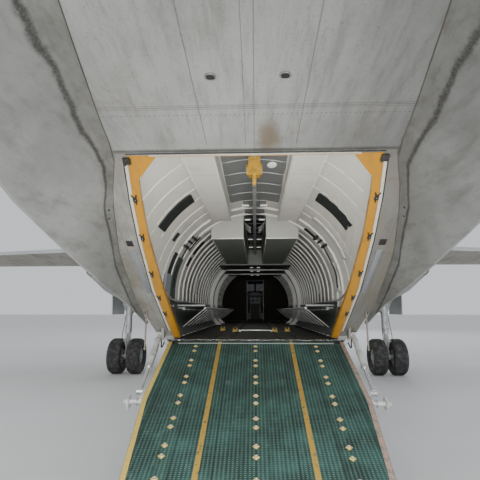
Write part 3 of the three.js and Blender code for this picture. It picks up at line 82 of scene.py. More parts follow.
# Distance aft, then the height and the half width of the strakes' lower edge
STRAKE_ROWS = ((0.45, 1.715, 1.408), (1.0, 1.92, 1.448), (1.7, 2.09, 1.468), (2.4, 2.275, 1.48),
               (2.8, 2.385, 1.48), (3.35, 2.535, 1.47), (4.15, 2.76, 1.36), (4.5, 2.99, 1.13))
DUCT = {"inner": 0.38, "outer": 0.68, "low": 3.3, "back": SILL_Y - 2.35, "front": -4.4}
PANEL = {"inner": 0.2, "outer": 0.77, "low": 3.15, "back": -3.7, "front": 0.3}
BAY = {"half": 1.15, "low": 3.12, "back": 0.3, "front": 3.7}
HINGE_Z = 1.425
RAMP_SLOPE = math.radians(21.5)
RAMP_LENGTH = 3.08
RAMP_HALF = 1.19
RAMP_TOE_HALF = 1.01
RAMP_TAPER_FROM = 1.35
DECK_TOP = 0.045
# Distance from the centre line, then the outer wing's leading edge, its height and its chord
WING_ROWS = ((4.7, 3.75, 3.7, 3.5), (14.6, 1.96, 3.32, 1.095))
WING_PITCH = math.radians(3)
NACELLE_X = 3.95
SHAFT_Z = 3.177
PROP_Y = 6.4
MAIN_LEG_Y = 1.95
NOSE_LEG_Y = 9.6
# The photo's camera: its place, how far it looks up and how far it turns to the left
CAMERA_PLACE = (0, -10.65, 1.88)
CAMERA_RISE = math.radians(10.06)
CAMERA_TURN = math.radians(2.15)


class Value:
    """A shader socket. Arithmetic on it adds the Math nodes."""

    def __init__(self, finish, socket):
        self.finish = finish
        self.socket = socket

    def math(self, operation, other=0.0):
        return self.finish.node("ShaderNodeMath", {"operation": operation}, {0: self, 1: other})

    def reflected(self, operation, other):
        return self.finish.node("ShaderNodeMath", {"operation": operation}, {0: other, 1: self})

    def __add__(self, other):
        return self.math("ADD", other)

    def __radd__(self, other):
        return self.math("ADD", other)

    def __sub__(self, other):
        return self.math("SUBTRACT", other)

    def __rsub__(self, other):
        return self.reflected("SUBTRACT", other)

    def __mul__(self, other):
        return self.math("MULTIPLY", other)

    def __rmul__(self, other):
        return self.math("MULTIPLY", other)

    def __truediv__(self, other):
        return self.math("DIVIDE", other)

    def __pow__(self, other):
        return self.math("POWER", other)

    def __lt__(self, other):
        return self.math("LESS_THAN", other)

    def __gt__(self, other):
        return self.math("GREATER_THAN", other)

    def absolute(self):
        return self.math("ABSOLUTE")

    def sine(self):
        return self.math("SINE")

    def at_least(self, other):
        return self.math("MAXIMUM", other)

    def at_most(self, other):
        return self.math("MINIMUM", other)

    def from_nearest(self, pitch):
        """Distance to the nearest multiple of the pitch."""
        return self.math("PINGPONG", pitch / 2)


class Finish:
    """A material under construction: a Principled shader and the nodes that feed it."""

    def __init__(self, name, metallic=0.0, coat=0.0):
        self.material = bpy.data.materials.new(name)
        self.material.use_nodes = True
        self.tree = self.material.node_tree
        self.shader = self.tree.nodes["Principled BSDF"]
        self.shader.inputs["Metallic"].default_value = metallic
        self.shader.inputs["Coat Weight"].default_value = coat
        self.point = self.node("ShaderNodeTexCoord", output="Object")

    def node(self, kind, settings=None, inputs=None, output=0):
        """Any node: its settings first, then the values or links of its sockets."""
        made = self.tree.nodes.new(kind)
        for name, value in (settings or {}).items():
            setattr(made, name, value)
        for name, value in (inputs or {}).items():
            if isinstance(value, Value):
                self.tree.links.new(value.socket, made.inputs[name])
            else:
                made.inputs[name].default_value = value
        return Value(self, made.outputs[output])

    def axis(self, index, point=None):
        return self.node("ShaderNodeSeparateXYZ", inputs={0: point or self.point}, output=index)

    def stretched(self, scale, turn=(0, 0, 0), place=(0, 0, 0)):
        settings = {"Vector": self.point, "Location": place, "Rotation": turn, "Scale": scale}
        return self.node("ShaderNodeMapping", inputs=settings)

    def noise(self, scale, detail=3.0, rough=0.55, point=None):
        sockets = {"Vector": point or self.point, "Scale": scale, "Detail": detail, "Roughness": rough}
        return self.node("ShaderNodeTexNoise", inputs=sockets)

    def cells(self, scale):
        """Distance to the nearest of a scatter of cell centres."""
        return self.node("ShaderNodeTexVoronoi", inputs={"Vector": self.point, "Scale": scale},
                         output="Distance")

    def step(self, value, low, high):
        """0 below low, 1 above high, and smooth between them."""
        settings = {"interpolation_type": "SMOOTHSTEP"}
        return self.node("ShaderNodeMapRange", settings, {"Value": value, "From Min": low, "From Max": high})

    def mix(self, share, first, second):
        return self.node("ShaderNodeMix", {"data_type": "RGBA"}, {0: share, 6: first, 7: second}, 2)

    def darken(self, share, colour, factor):
        """The colour multiplied by a factor where the share is 1."""
        settings = {"data_type": "RGBA", "blend_type": "MULTIPLY"}
        return self.node("ShaderNodeMix", settings, {0: share, 6: colour, 7: shade((factor,) * 3)}, 2)

    def colour(self, value):
        self.feed("Base Color", value)

    def feed(self, name, value):
        if isinstance(value, Value):
            self.tree.links.new(value.socket, self.shader.inputs[name])
        else:
            self.shader.inputs[name].default_value = value

    def bump(self, height, distance, strength=1.0):
        """Raises the surface by the height value times the distance in metres."""
        inputs = {"Height": height, "Distance": distance, "Strength": strength}
        self.feed("Normal", self.node("ShaderNodeBump", inputs=inputs))


def shade(rgb, factor=1.0):
    """An opaque colour, lighter or darker by a factor."""
    return (rgb[0] * factor, rgb[1] * factor, rgb[2] * factor, 1.0)


MADE = {}


def once(maker):
    """Makes each material a single time and then gives the same one."""

    def given(*hue):
        key = (maker.__name__, *hue)
        if key not in MADE:
            MADE[key] = maker(*hue)
        return MADE[key]

    return given


def look():
    """The colours and sizes that the plane's finish starts from."""
    return bpy.context.scene.plane_look


def weathered(finish):
    """Pale grey aircraft paint with mottling, streaks, seams and rivets: its colour, dirt and height."""
    base = look().skin_colour
    x, y, z = (finish.axis(index) for index in range(3))
    cloud = finish.noise(1.1, 5.0, 0.6)
    smear = finish.noise(2.6, 6.0, 0.65, finish.stretched((2.2, 0.35, 1.0)))
    speck = finish.noise(38.0, 2.0, 0.5)
    seam = (y.from_nearest(look().seam_pitch) < 0.004).at_least(x.from_nearest(1.26) < 0.003)
    row = (y.from_nearest(look().seam_pitch) - 0.018).absolute()
    dot = x.from_nearest(0.045).at_most(z.from_nearest(0.045))
    rivet = (row < 0.005) * (dot < 0.007)
    dirt = finish.step(smear, 0.50, 0.76) * 0.42 + finish.step(speck, 0.62, 0.75) * 0.18
    tone = finish.mix(finish.step(cloud, 0.35, 0.7), shade(base, 0.88), shade(base, 1.08))
    soiled = finish.mix(dirt, tone, shade((0.20, 0.19, 0.165)))
    facing = finish.axis(2, finish.node("ShaderNodeNewGeometry", output="Normal"))
    wing_below = (facing < -0.6) * (x.absolute() > 1.6) * (z > 3.0)
    burnt = finish.step(finish.noise(3.5, 6.0, 0.7, finish.stretched((1.6, 0.25, 1.0))), 0.42, 0.66)
    beige = finish.mix(burnt * 0.85, shade((0.31, 0.28, 0.22)), shade((0.115, 0.085, 0.055)))
    soiled = finish.mix(wing_below * 0.8, soiled, beige)
    lined = finish.mix(seam * 0.5 + rivet * 0.35, soiled, shade((0.10, 0.10, 0.095)))
    return lined, dirt, finish.noise(3.0, 2.0) * 0.6 - seam * 0.5 + rivet * 0.4


def hatch_height(aft):
    """Shader value of the height of the hatch plane and the flat behind it, at a distance aft of the sill."""
    return (HATCH_SILL_Z + aft * HATCH_SLOPE).at_most(HATCH_TOP_Z + (aft - HATCH_RUN) * CONE_SLOPE)


@once
def skin_paint():
    """Pale grey aircraft paint: soft mottling, streaks of dirt, panel seams and rows of rivets."""
    finish = Finish("skin_paint", coat=0.04)
    tone, dirt, height = weathered(finish)
    finish.colour(tone)
    finish.feed("Roughness", 0.48 + dirt * 0.3)
    finish.bump(height, 0.0022, 0.7)
    return finish.material


@once
def hull_paint():
    """Skin paint outside, cream ducts and green-grey ceiling panels inside; under the tail, stains and a
    painted shade that darkens the underside, more so towards the right.
    """
    finish = Finish("hull_paint", coat=0.02)
    x, y, z = (finish.axis(index) for index in range(3))
    skin, dirt, height = weathered(finish)
    aft = (SILL_Y - y).at_least(0.0)
    half = BARREL["half"] - aft * aft * 0.0102
    rise = (z - BARREL["waist"]) / BARREL["half"]
    over = z - hatch_height(aft)
    # Inner faces of the hold over the hatch, and the tail's flat underside
    inside = (x * x / (half * half) + rise * rise < 0.955) * (over > 0.06) * (aft < 2.9)
    under = (over < 0.03) * (aft > 0.1)

    grain = finish.noise(2.4, 6.0, 0.68)
    streak = finish.noise(4.5, 6.0, 0.75, finish.stretched((3.0, 0.4, 1.0)))
    fleck = finish.noise(70.0, 3.0, 0.7)
    edge = 1 - finish.step((aft - 2.86).absolute() + grain * 0.06, 0.03, 0.075)
    spill = finish.node("ShaderNodeVectorMath", {"operation": "DISTANCE"},
                        {0: finish.stretched((1.0, 0.45, 0.0)), 1: (0.10, -3.62, 0.0)}, "Value")
    warm = finish.step(grain, 0.52, 0.72) * (1 - finish.step(aft, 3.7, 4.6)) * 0.3
    brown = warm.at_least((1 - finish.step(spill + grain * 0.22, 0.13, 0.24)) * 0.75)
    lines = ((x + 0.34).absolute() < 0.003).at_least((x + 0.06).absolute() < 0.002)
    lines = lines.at_least((x - 0.30).absolute() < 0.003) * (aft > 2.95)
    rows = ((aft - 3.32).absolute() < 0.004) * (x.from_nearest(0.03) < 0.006)
    grime = (finish.step(streak, 0.42, 0.70) * 0.6 + finish.step(fleck, 0.55, 0.70) * 0.5).at_most(1.0)
    stains_and_shade = finish.mix(grime * 0.8, skin, shade((0.17, 0.16, 0.145)))
    # Painted shade: the tail's underside made darker overall, and darker still towards the right side.
    stains_and_shade = finish.darken(0.46 + finish.step(x, -0.1, 0.9) * 0.48, stains_and_shade, 0.35)
    stains_and_shade = finish.mix(brown, stains_and_shade, shade((0.125, 0.092, 0.052)))
    stains_and_shade = finish.mix((edge * 0.85).at_least(lines * 0.45).at_least(rows * 0.6), stains_and_shade,
                         shade((0.035, 0.032, 0.028)))
    # The strips of the underside left and right of the hatch
    beside = (over < 0.03) * (aft > 0.1) * (aft < 2.86) * (x.absolute() > 0.9)
    rubbed = finish.noise(6.0, 6.0, 0.75, finish.stretched((1.0, 0.3, 1.0)))
    brownish = 0.15 + finish.step(rubbed, 0.38, 0.62) * 0.5 + finish.step(x.absolute(), 1.24, 1.36) * 0.25
    outer = finish.mix(under, skin, stains_and_shade)
    outer = finish.mix(beside * brownish, outer, shade((0.150, 0.135, 0.105)))

    duct_seam = (y.from_nearest(1.1) < 0.004) * (z > DUCT["low"] - 0.02)
    dust = finish.step(grain, 0.5, 0.8) * 0.3
    cream = finish.mix(dust, shade(look().lining_colour), shade((0.30, 0.28, 0.22)))
    cream = finish.mix(duct_seam * 0.5, cream, shade((0.12, 0.115, 0.10)))
    pressed = (y.from_nearest(0.16) < 0.008) * 0.35
    green = finish.mix(pressed.at_least(dust), shade((0.27, 0.29, 0.26)), shade((0.15, 0.16, 0.14)))
    deep = finish.step(y, PANEL["back"] - 0.02, PANEL["back"] + 0.02) * (y < BAY["front"] + 0.05)
    finish.colour(finish.mix(inside, outer, finish.mix(deep, cream, green)))
    finish.feed("Roughness", 0.48 + dirt * 0.3 + inside * 0.1)
    finish.bump(height * (1 - inside) + under * (grain * 1.5 - lines) + pressed * inside, 0.0025, 0.7)
    return finish.material


@once
def strake_paint():
    """Pale grey paint with scuffs, clouds of wear and long streaks of grime, under a painted shade that
    darkens it overall and more towards the right.
    """
    finish = Finish("strake_paint", coat=0.03)
    base = look().skin_colour
    cloud = finish.noise(1.4, 6.0, 0.62)
    scuff = finish.noise(9.0, 6.0, 0.75, finish.stretched((1.0, 0.6, 2.0)))
    run = finish.noise(5.0, 5.0, 0.7, finish.stretched((1.0, 0.35, 1.6), (0.6, 0, 0)))
    speck = finish.noise(85.0, 3.0, 0.7)
    tone = finish.mix(finish.step(cloud, 0.3, 0.72), shade(base, 0.74), shade(base, 1.06))
    dirt = finish.step(scuff, 0.5, 0.78) * 0.35 + finish.step(speck, 0.58, 0.74) * 0.25
    grimy = finish.mix(finish.step(run, 0.46, 0.70) * 0.5, tone, shade((0.145, 0.14, 0.125)))
    x, y, z = (finish.axis(index) for index in range(3))
    aft = SILL_Y - y
    below = hatch_height(aft) - z
    wobble = finish.noise(7.0, 5.0, 0.7) * 0.05
    inner = (x.absolute() < 1.47) * (aft > 0.8)
    crack = (1 - finish.step((below + wobble - 0.125).absolute(), 0.004, 0.022)) * inner
    rough = finish.step(finish.noise(60.0, 3.0, 0.7), 0.35, 0.6)
    # Darker in a band just below the hatch plane, along the strake's root, broken up by the scuff noise.
    root_band = (1 - finish.step(below, 0.05, 0.17)) * (0.25 + finish.step(scuff, 0.4, 0.7) * 0.35)
    grimy = finish.mix(root_band, grimy, shade((0.155, 0.145, 0.12)))
    grimy = finish.mix(crack * (0.55 + rough * 0.35), grimy, shade((0.045, 0.042, 0.036)))
    grimy = finish.mix(dirt, grimy, shade((0.15, 0.145, 0.135)))
    # Painted shade: the whole paint made darker, the right-hand side darker still.
    finish.colour(finish.darken(0.56 + finish.step(x, 0.0, 1.0) * 0.22, grimy, 0.35))
    finish.feed("Roughness", 0.46 + dirt * 0.4)
    finish.bump(cloud * 0.8 + scuff * 0.2, 0.004, 0.6)
    return finish.material


@once
def lining_cream():
    """Cream lining: smooth panels at the hatch, stitched and dusty padding further in, darkened deeper in the
    hold by painted shade.
    """
    finish = Finish("lining_cream")
    base = look().lining_colour
    y, z = finish.axis(1), finish.axis(2)
    cloud = finish.noise(2.2, 5.0, 0.6)
    weave = finish.noise(90.0, 2.0, 0.5)
    deep = finish.step(y, -4.4, -2.6)
    low = (1 - finish.step(z, 1.6, 2.8)) * deep
    stitch = (z.from_nearest(0.34) < 0.004) * deep
    # Dust in clouds, a darker band low on the wall further in, and painted shade that darkens the lining
    # deeper in the hold.
    dirt = (finish.step(cloud, 0.48, 0.8) * 0.2 + low * 0.2 + deep * 0.72).at_most(1.0)
    soiled = finish.mix(dirt, shade(base), shade((0.13, 0.13, 0.115)))
    finish.colour(finish.mix(stitch * 0.5, soiled, shade((0.10, 0.095, 0.08))))
    finish.feed("Roughness", 0.62 + weave * 0.15)
    puff = (z.from_nearest(0.34) * 12.0).sine() * deep
    finish.bump(puff * 0.4 + weave * 0.06 - stitch * 0.3, 0.010, 0.6)
    return finish.material


@once
def panel_paint(red, green, blue):
    """Enamelled sheet of a wall fitting, brushed by loads and lightly dusty."""
    finish = Finish("panel_paint", coat=0.08)
    hue = (red, green, blue)
    cloud = finish.noise(5.0, 5.0, 0.6)
    run = finish.noise(16.0, 5.0, 0.7, finish.stretched((1.0, 3.0, 0.35)))
    tone = finish.mix(cloud, shade(hue, 0.82), shade(hue, 1.15))
    finish.colour(finish.mix(finish.step(run, 0.52, 0.75) * 0.4, tone, shade((0.11, 0.105, 0.09))))
    finish.feed("Roughness", 0.45 + run * 0.2)
    finish.bump(run * 0.5 + cloud, 0.0015, 0.6)
    return finish.material


@once
def quilt_dark():
    """Dark olive quilted cover on the bulkhead."""
    finish = Finish("quilt_dark")
    x, z = finish.axis(0), finish.axis(2)
    stitch = ((x + z).from_nearest(0.12) < 0.003).at_least((x - z).from_nearest(0.12) < 0.003)
    puff = ((x + z).from_nearest(0.12) * 26.0).sine() * ((x - z).from_nearest(0.12) * 26.0).sine()
    dust = finish.noise(12.0, 4.0, 0.6)
    tone = finish.mix(dust, shade((0.012, 0.011, 0.006)), shade((0.030, 0.028, 0.018)))
    finish.colour(finish.mix(stitch * 0.7, tone, shade((0.006, 0.006, 0.004))))
    finish.feed("Roughness", 0.85 + dust * 0.1)
    finish.bump(puff * 0.6 - stitch * 0.4, 0.012, 0.8)
    return finish.material


@once
def rib_white():
    """Off-white enamel on the frames, chipped at the edges."""
    finish = Finish("rib_white", coat=0.1)
    chips = finish.step(finish.noise(30.0, 5.0, 0.7), 0.64, 0.72)
    dust = finish.noise(4.0, 4.0, 0.6)
    tone = finish.mix(dust * 0.4, shade(look().rib_colour), shade(look().rib_colour, 0.72))
    finish.colour(finish.mix(chips * 0.6, tone, shade((0.30, 0.28, 0.24))))
    finish.feed("Roughness", 0.36 + dust * 0.2)
    finish.bump(chips * -1.0, 0.001, 0.5)
    return finish.material


@once
def ceiling_grey():
    """Dark grey panels over the hoist rail, almost black under the wing."""
    finish = Finish("ceiling_grey", metallic=0.1)
    y = finish.axis(1)
    cloud = finish.noise(3.0, 5.0, 0.6)
    dust = finish.step(finish.noise(11.0, 5.0, 0.7), 0.5, 0.8)
    tone = finish.mix(cloud, shade((0.20, 0.205, 0.205)), shade((0.29, 0.295, 0.29)))
    dusty = finish.mix(dust * 0.35, tone, shade((0.36, 0.355, 0.34)))
    finish.colour(finish.mix(finish.step(y, -4.2, -3.6), dusty, shade((0.016, 0.018, 0.018))))
    finish.feed("Roughness", 0.55 + dust * 0.2)
    finish.bump((y.from_nearest(0.085) * 70.0).sine(), 0.003, 0.5)
    return finish.material


@once
def floor_paint():
    """Dark olive floor paint, scuffed along the loading path and gritty near the sill."""
    finish = Finish("floor_paint", metallic=0.05)
    finish.shader.inputs["Specular IOR Level"].default_value = 0.25
    x, y = finish.axis(0), finish.axis(1)
    scuff = finish.noise(6.0, 7.0, 0.75, finish.stretched((3.0, 0.5, 1.0)))
    grit = finish.noise(150.0, 2.0, 0.6)
    litter = finish.step(finish.noise(28.0, 6.0, 0.8), 0.57, 0.64) * (1 - finish.step(y, -3.4, -1.5))
    track = 1 - finish.step((x.absolute() - 0.55).absolute(), 0.08, 0.34)
    worn = finish.step(scuff + track * 0.12, 0.58, 0.76)
    seam = (y.from_nearest(1.25) < 0.005).at_least(x.from_nearest(0.62) < 0.004)
    tone = finish.mix(finish.noise(2.0, 4.0), shade((0.016, 0.018, 0.014)), shade((0.038, 0.038, 0.029)))
    bare = finish.mix(worn * 0.4, tone, shade((0.12, 0.11, 0.085)))
    littered = finish.mix(litter * 0.6, bare, shade((0.22, 0.20, 0.155)))
    finish.colour(finish.mix(seam * 0.7, littered, shade((0.010, 0.010, 0.008))))
    finish.feed("Roughness", 0.78 - worn * 0.1 + grit * 0.1)
    finish.bump(grit * 0.6 - seam * 0.8 + litter, 0.002, 0.8)
    return finish.material


@once
def deck_paint():
    """Green anti-slip deck with diamond tread, amber stripes and dark lanes over a plain grey underside."""
    finish = Finish("deck_paint", metallic=0.05)
    finish.shader.inputs["Specular IOR Level"].default_value = 0.3
    ramp = bpy.context.scene.plane_ramp
    turned = finish.stretched((1, 1, 1), (-RAMP_SLOPE, 0, 0))
    x = finish.axis(0, turned)
    along = finish.axis(1, turned)
    flat = finish.stretched((1.0, 0.12, 1.0), (-RAMP_SLOPE, 0, 0))
    streak = finish.noise(13.0, 6.0, 0.7, flat)
    cloud = finish.noise(3.2, 5.0, 0.65)
    tread = ((x + along) * 330.0).sine() * ((x - along) * 330.0).sine()
    weft = ((x * 0.6 + along) * 150.0).sine() * ((x * 0.6 - along) * 150.0).sine()
    glint = finish.step(weft + finish.noise(95.0, 3.0, 0.7), 0.75, 1.15)
    deep = shade(ramp.deck_colour, 0.5)
    pale = shade(ramp.deck_colour, 1.7)
    tone = finish.mix(finish.step(cloud + streak * 0.5, 0.55, 1.0), deep, pale)
    lit = finish.mix(glint * 0.55, tone, shade((0.15, 0.23, 0.20)))
    scrubbed = finish.mix(finish.step(streak, 0.58, 0.78) * 0.45, lit, shade((0.17, 0.22, 0.20)))
    lane = ((x.from_nearest(0.118) < 0.006) * 0.55).at_least(x.from_nearest(0.354) < 0.009)
    lined = finish.mix(lane * 0.6, scrubbed, shade((0.006, 0.014, 0.012)))
    stripe = ((x.absolute() - ramp.stripe_offset).absolute() < ramp.stripe_width / 2)
    rubbed = finish.step(finish.noise(24.0, 5.0, 0.75), 0.34, 0.46)
    striped = finish.mix(stripe * rubbed, lined, shade(ramp.stripe_colour))
    hinge_up = HINGE_Z * math.cos(RAMP_SLOPE) - SILL_Y * math.sin(RAMP_SLOPE)
    below = finish.axis(2, turned) < hinge_up + DECK_TOP - 0.008
    plain = finish.mix(cloud, shade(look().skin_colour, 0.7), shade(look().skin_colour, 1.05))
    finish.colour(finish.mix(below, striped, plain))
    finish.feed("Roughness", 0.62 - glint * 0.15 + streak * 0.15)
    finish.bump((tread * 0.6 + weft * 0.2) * (1 - below) + streak * 0.25, 0.0035, 0.8)
    return finish.material


@once
def amber_paint():
    """Amber enamel of the hatch frame, rubbed through to grey and streaked with grease."""
    finish = Finish("amber_paint", coat=0.12)
    chips = finish.step(finish.noise(26.0, 6.0, 0.75), 0.62, 0.7)
    grease = finish.step(finish.noise(5.5, 5.0, 0.65, finish.stretched((2.0, 0.6, 0.6))), 0.5, 0.75)
    amber = look().amber_colour
    tone = finish.mix(finish.noise(4.0, 3.0), shade(amber, 0.8), shade(amber, 1.12))
    greased = finish.mix(grease * 0.45, tone, shade((0.17, 0.09, 0.03)))
    finish.colour(finish.mix(chips * 0.75, greased, shade((0.22, 0.21, 0.19))))
    finish.feed("Roughness", 0.38 + grease * 0.2 + chips * 0.15)
    finish.bump(chips * -1.0 + finish.noise(12.0, 3.0) * 0.4, 0.0015, 0.6)
    return finish.material


@once
def steel():
    """Brushed grey steel with oily patches."""
    finish = Finish("steel", metallic=0.85)
    brush = finish.noise(40.0, 4.0, 0.7, finish.stretched((1.0, 1.0, 0.12)))
    oil = finish.step(finish.noise(7.0, 4.0, 0.6), 0.5, 0.75)
    finish.colour(finish.mix(oil * 0.6, shade((0.50, 0.51, 0.51)), shade((0.13, 0.12, 0.105))))
    finish.feed("Roughness", 0.3 + brush * 0.2 + oil * 0.15)
    finish.bump(brush, 0.0008, 0.4)
    return finish.material


@once
def leg_paint():
    """Grey-white enamel on the undercarriage and ramp arms, oily and chipped."""
    finish = Finish("leg_paint", metallic=0.2, coat=0.08)
    oil = finish.step(finish.noise(8.0, 5.0, 0.7), 0.48, 0.72)
    chips = finish.step(finish.noise(42.0, 4.0, 0.7), 0.63, 0.7)
    tone = finish.mix(oil * 0.75, shade((0.45, 0.46, 0.45)), shade((0.10, 0.095, 0.085)))
    finish.colour(finish.mix(chips * 0.7, tone, shade((0.07, 0.065, 0.06))))
    finish.feed("Roughness", 0.42 + oil * 0.18)
    finish.bump(chips * -1.0 + oil * 0.3, 0.0012, 0.6)
    return finish.material


@once
def chrome():
    """Polished sliding tube with a film of oil."""
    finish = Finish("chrome", metallic=1.0)
    film = finish.noise(14.0, 4.0, 0.6)
    finish.colour(finish.mix(film * 0.5, shade((0.72, 0.72, 0.72)), shade((0.42, 0.40, 0.36))))
    finish.feed("Roughness", 0.1 + film * 0.15)
    return finish.material


@once
def rubber():
    """Black rubber of hoses and seals, greyed by dust."""
    finish = Finish("rubber")
    dust = finish.noise(18.0, 5.0, 0.65)
    dusty = finish.step(dust, 0.45, 0.8)
    finish.colour(finish.mix(dusty, shade((0.018, 0.018, 0.018)), shade((0.08, 0.077, 0.07))))
    finish.feed("Roughness", 0.62 + dust * 0.2)
    finish.bump(dust, 0.001, 0.5)
    return finish.material


@once
def tyre_rubber():
    """Tyre rubber with a dusty tread and scuffed walls."""
    finish = Finish("tyre_rubber")
    dust = finish.noise(9.0, 6.0, 0.7)
    grain = finish.noise(120.0, 2.0, 0.6)
    dusty = finish.step(dust, 0.42, 0.78)
    finish.colour(finish.mix(dusty, shade((0.022, 0.022, 0.023)), shade((0.115, 0.108, 0.098))))
    finish.feed("Roughness", 0.72 + grain * 0.15)
    finish.bump(grain * 0.5 + dust * 0.5, 0.0015, 0.7)
    return finish.material


@once
def hub_paint():
    """Pale green-grey wheel paint with brake dust."""
    finish = Finish("hub_paint", metallic=0.25, coat=0.05)
    dust = finish.step(finish.noise(12.0, 5.0, 0.7), 0.42, 0.75)
    finish.colour(finish.mix(dust * 0.75, shade((0.33, 0.36, 0.34)), shade((0.075, 0.065, 0.055))))
    finish.feed("Roughness", 0.42 + dust * 0.25)
    finish.bump(dust, 0.0008, 0.5)
    return finish.material


@once
def window_glass():
    """Dark tinted cockpit glass with a faint film."""
    finish = Finish("window_glass", coat=0.6)
    film = finish.noise(5.0, 4.0, 0.6)
    finish.colour(finish.mix(film * 0.4, shade((0.018, 0.024, 0.027)), shade((0.06, 0.07, 0.07))))
    finish.feed("Roughness", 0.06 + film * 0.08)
    finish.feed("Alpha", 0.72 + film * 0.1)
    finish.material.surface_render_method = "BLENDED"
    return finish.material


@once
def blade_paint():
    """Dark grey blades with yellow tips, flecked and polished at the leading edge."""
    finish = Finish("blade_paint", metallic=0.3)
    x, z = finish.axis(0), finish.axis(2)
    side = x.absolute() - NACELLE_X
    reach = ((side * side) + (z - SHAFT_Z) * (z - SHAFT_Z)) ** 0.5
    tip = (reach > 1.78) * (reach < 1.96)
    fleck = finish.step(finish.noise(60.0, 3.0, 0.7), 0.66, 0.72)
    cloud = finish.noise(5.0, 4.0, 0.6)
    dark = finish.mix(cloud, shade((0.028, 0.030, 0.031)), shade((0.060, 0.062, 0.062)))
    tipped = finish.mix(tip, dark, shade((0.62, 0.40, 0.035)))
    finish.colour(finish.mix(fleck * 0.5, tipped, shade((0.34, 0.34, 0.33))))
    finish.feed("Roughness", 0.36 + cloud * 0.2)
    finish.bump(cloud, 0.001, 0.4)
    return finish.material


@once
def engine_metal():
    """Bare engine casing, heat-tinted."""
    finish = Finish("engine_metal", metallic=0.8)
    heat = finish.noise(4.0, 4.0, 0.6)
    finish.colour(finish.mix(heat, shade((0.12, 0.115, 0.11)), shade((0.26, 0.21, 0.17))))
    finish.feed("Roughness", 0.35 + heat * 0.25)
    finish.bump(finish.noise(20.0, 3.0), 0.002, 0.5)
    return finish.material


@once
def soot():
    """Sooty black of the exhaust rims, latches and covers."""
    finish = Finish("soot", metallic=0.3)
    cloud = finish.noise(10.0, 5.0, 0.7)
    finish.colour(finish.mix(cloud, shade((0.008, 0.008, 0.008)), shade((0.045, 0.042, 0.038))))
    finish.feed("Roughness", 0.5 + cloud * 0.3)
    finish.bump(cloud, 0.001, 0.5)
    return finish.material


@once
def opening_shade_cloth():
    """Black ribbed sheet in the wall openings: painted shade of the cavities behind them."""
    finish = Finish("opening_shade_cloth")
    y, z = finish.axis(1), finish.axis(2)
    slat = (z * 210.0).sine()
    thread = finish.noise(140.0, 2.0, 0.6)
    finish.colour(finish.mix(thread, shade((0.006, 0.008, 0.008)), shade((0.026, 0.032, 0.030))))
    finish.feed("Roughness", 0.7 + thread * 0.2)
    finish.bump(slat * 0.6 + (y * 900.0).sine() * 0.1, 0.003, 0.7)
    return finish.material


@once
def seat_fabric():
    """Dark green woven seat cover with a coarse weave and dust."""
    finish = Finish("seat_fabric")
    finish.shader.inputs["Sheen Weight"].default_value = 0.05
    x, y = finish.axis(0), finish.axis(1)
    weave = (x * 1100.0).sine() * (y * 1100.0).sine()
    dust = finish.noise(7.0, 5.0, 0.65)
    tone = finish.mix(dust, shade(look().seat_colour, 0.7), shade(look().seat_colour, 1.5))
    finish.colour(finish.mix(finish.step(weave, 0.0, 1.0) * 0.25, tone, shade((0.02, 0.03, 0.025))))
    finish.feed("Roughness", 0.82 + dust * 0.1)
    finish.bump(weave * 0.5 + dust, 0.0015, 0.7)
    return finish.material


@once
def hoist_paint():
    """Worn yellow of the hoist."""
    finish = Finish("hoist_paint", coat=0.1)
    grease = finish.step(finish.noise(14.0, 5.0, 0.7), 0.45, 0.7)
    finish.colour(finish.mix(grease * 0.6, shade((0.62, 0.36, 0.05)), shade((0.10, 0.055, 0.02))))
    finish.feed("Roughness", 0.35 + grease * 0.25)
    finish.bump(grease, 0.0015, 0.6)
    return finish.material


@once
def fitting_yellow():
    """Scuffed yellow of the tie-down fittings."""
    finish = Finish("fitting_yellow", metallic=0.1)
    rub = finish.step(finish.noise(60.0, 5.0, 0.7), 0.5, 0.66)
    finish.colour(finish.mix(rub * 0.6, shade((0.55, 0.40, 0.09)), shade((0.17, 0.15, 0.10))))
    finish.feed("Roughness", 0.5 + rub * 0.2)
    finish.bump(rub, 0.001, 0.5)
    return finish.material


@once
def sill_metal():
    """Bare aluminium strip at the sill, dented and bright."""
    finish = Finish("sill_metal", metallic=0.9)
    dent = finish.noise(14.0, 4.0, 0.7, finish.stretched((1.0, 3.0, 3.0)))
    finish.colour(finish.mix(dent, shade((0.34, 0.34, 0.33)), shade((0.70, 0.70, 0.68))))
    finish.feed("Roughness", 0.24 + dent * 0.25)
    finish.bump(dent, 0.01, 0.8)
    return finish.material


@once
def lamp_glass():
    """Frosted lamp cover that glows faintly."""
    finish = Finish("lamp_glass", coat=0.5)
    ripple = (finish.axis(1) * 260.0).sine()
    finish.colour(shade((0.85, 0.85, 0.80)))
    finish.feed("Roughness", 0.3)
    finish.feed("Emission Color", finish.mix(ripple, shade((0.9, 0.9, 0.84)), shade((1.0, 1.0, 0.95))))
    finish.shader.inputs["Emission Strength"].default_value = 0.4
    finish.bump(ripple, 0.001, 0.5)
    return finish.material


@once
def lens_colour(red, green, blue):
    """Coloured lens of a navigation light."""
    finish = Finish("lens", coat=0.8)
    ripple = finish.cells(180.0)
    finish.colour(finish.mix(ripple, shade((red, green, blue)), shade((red, green, blue), 0.5)))
    finish.feed("Roughness", 0.12)
    finish.bump(ripple, 0.001, 0.5)
    return finish.material


@once
def instrument_black():
    """Dark crackle finish of the cockpit's floor, seat frames and dials."""
    finish = Finish("instrument_black")
    crackle = finish.cells(220.0)
    finish.colour(finish.mix(finish.noise(9.0), shade((0.020, 0.021, 0.022)), shade((0.055, 0.057, 0.058))))
    finish.feed("Roughness", 0.55)
    finish.bump(crackle, 0.001, 0.6)
    return finish.material


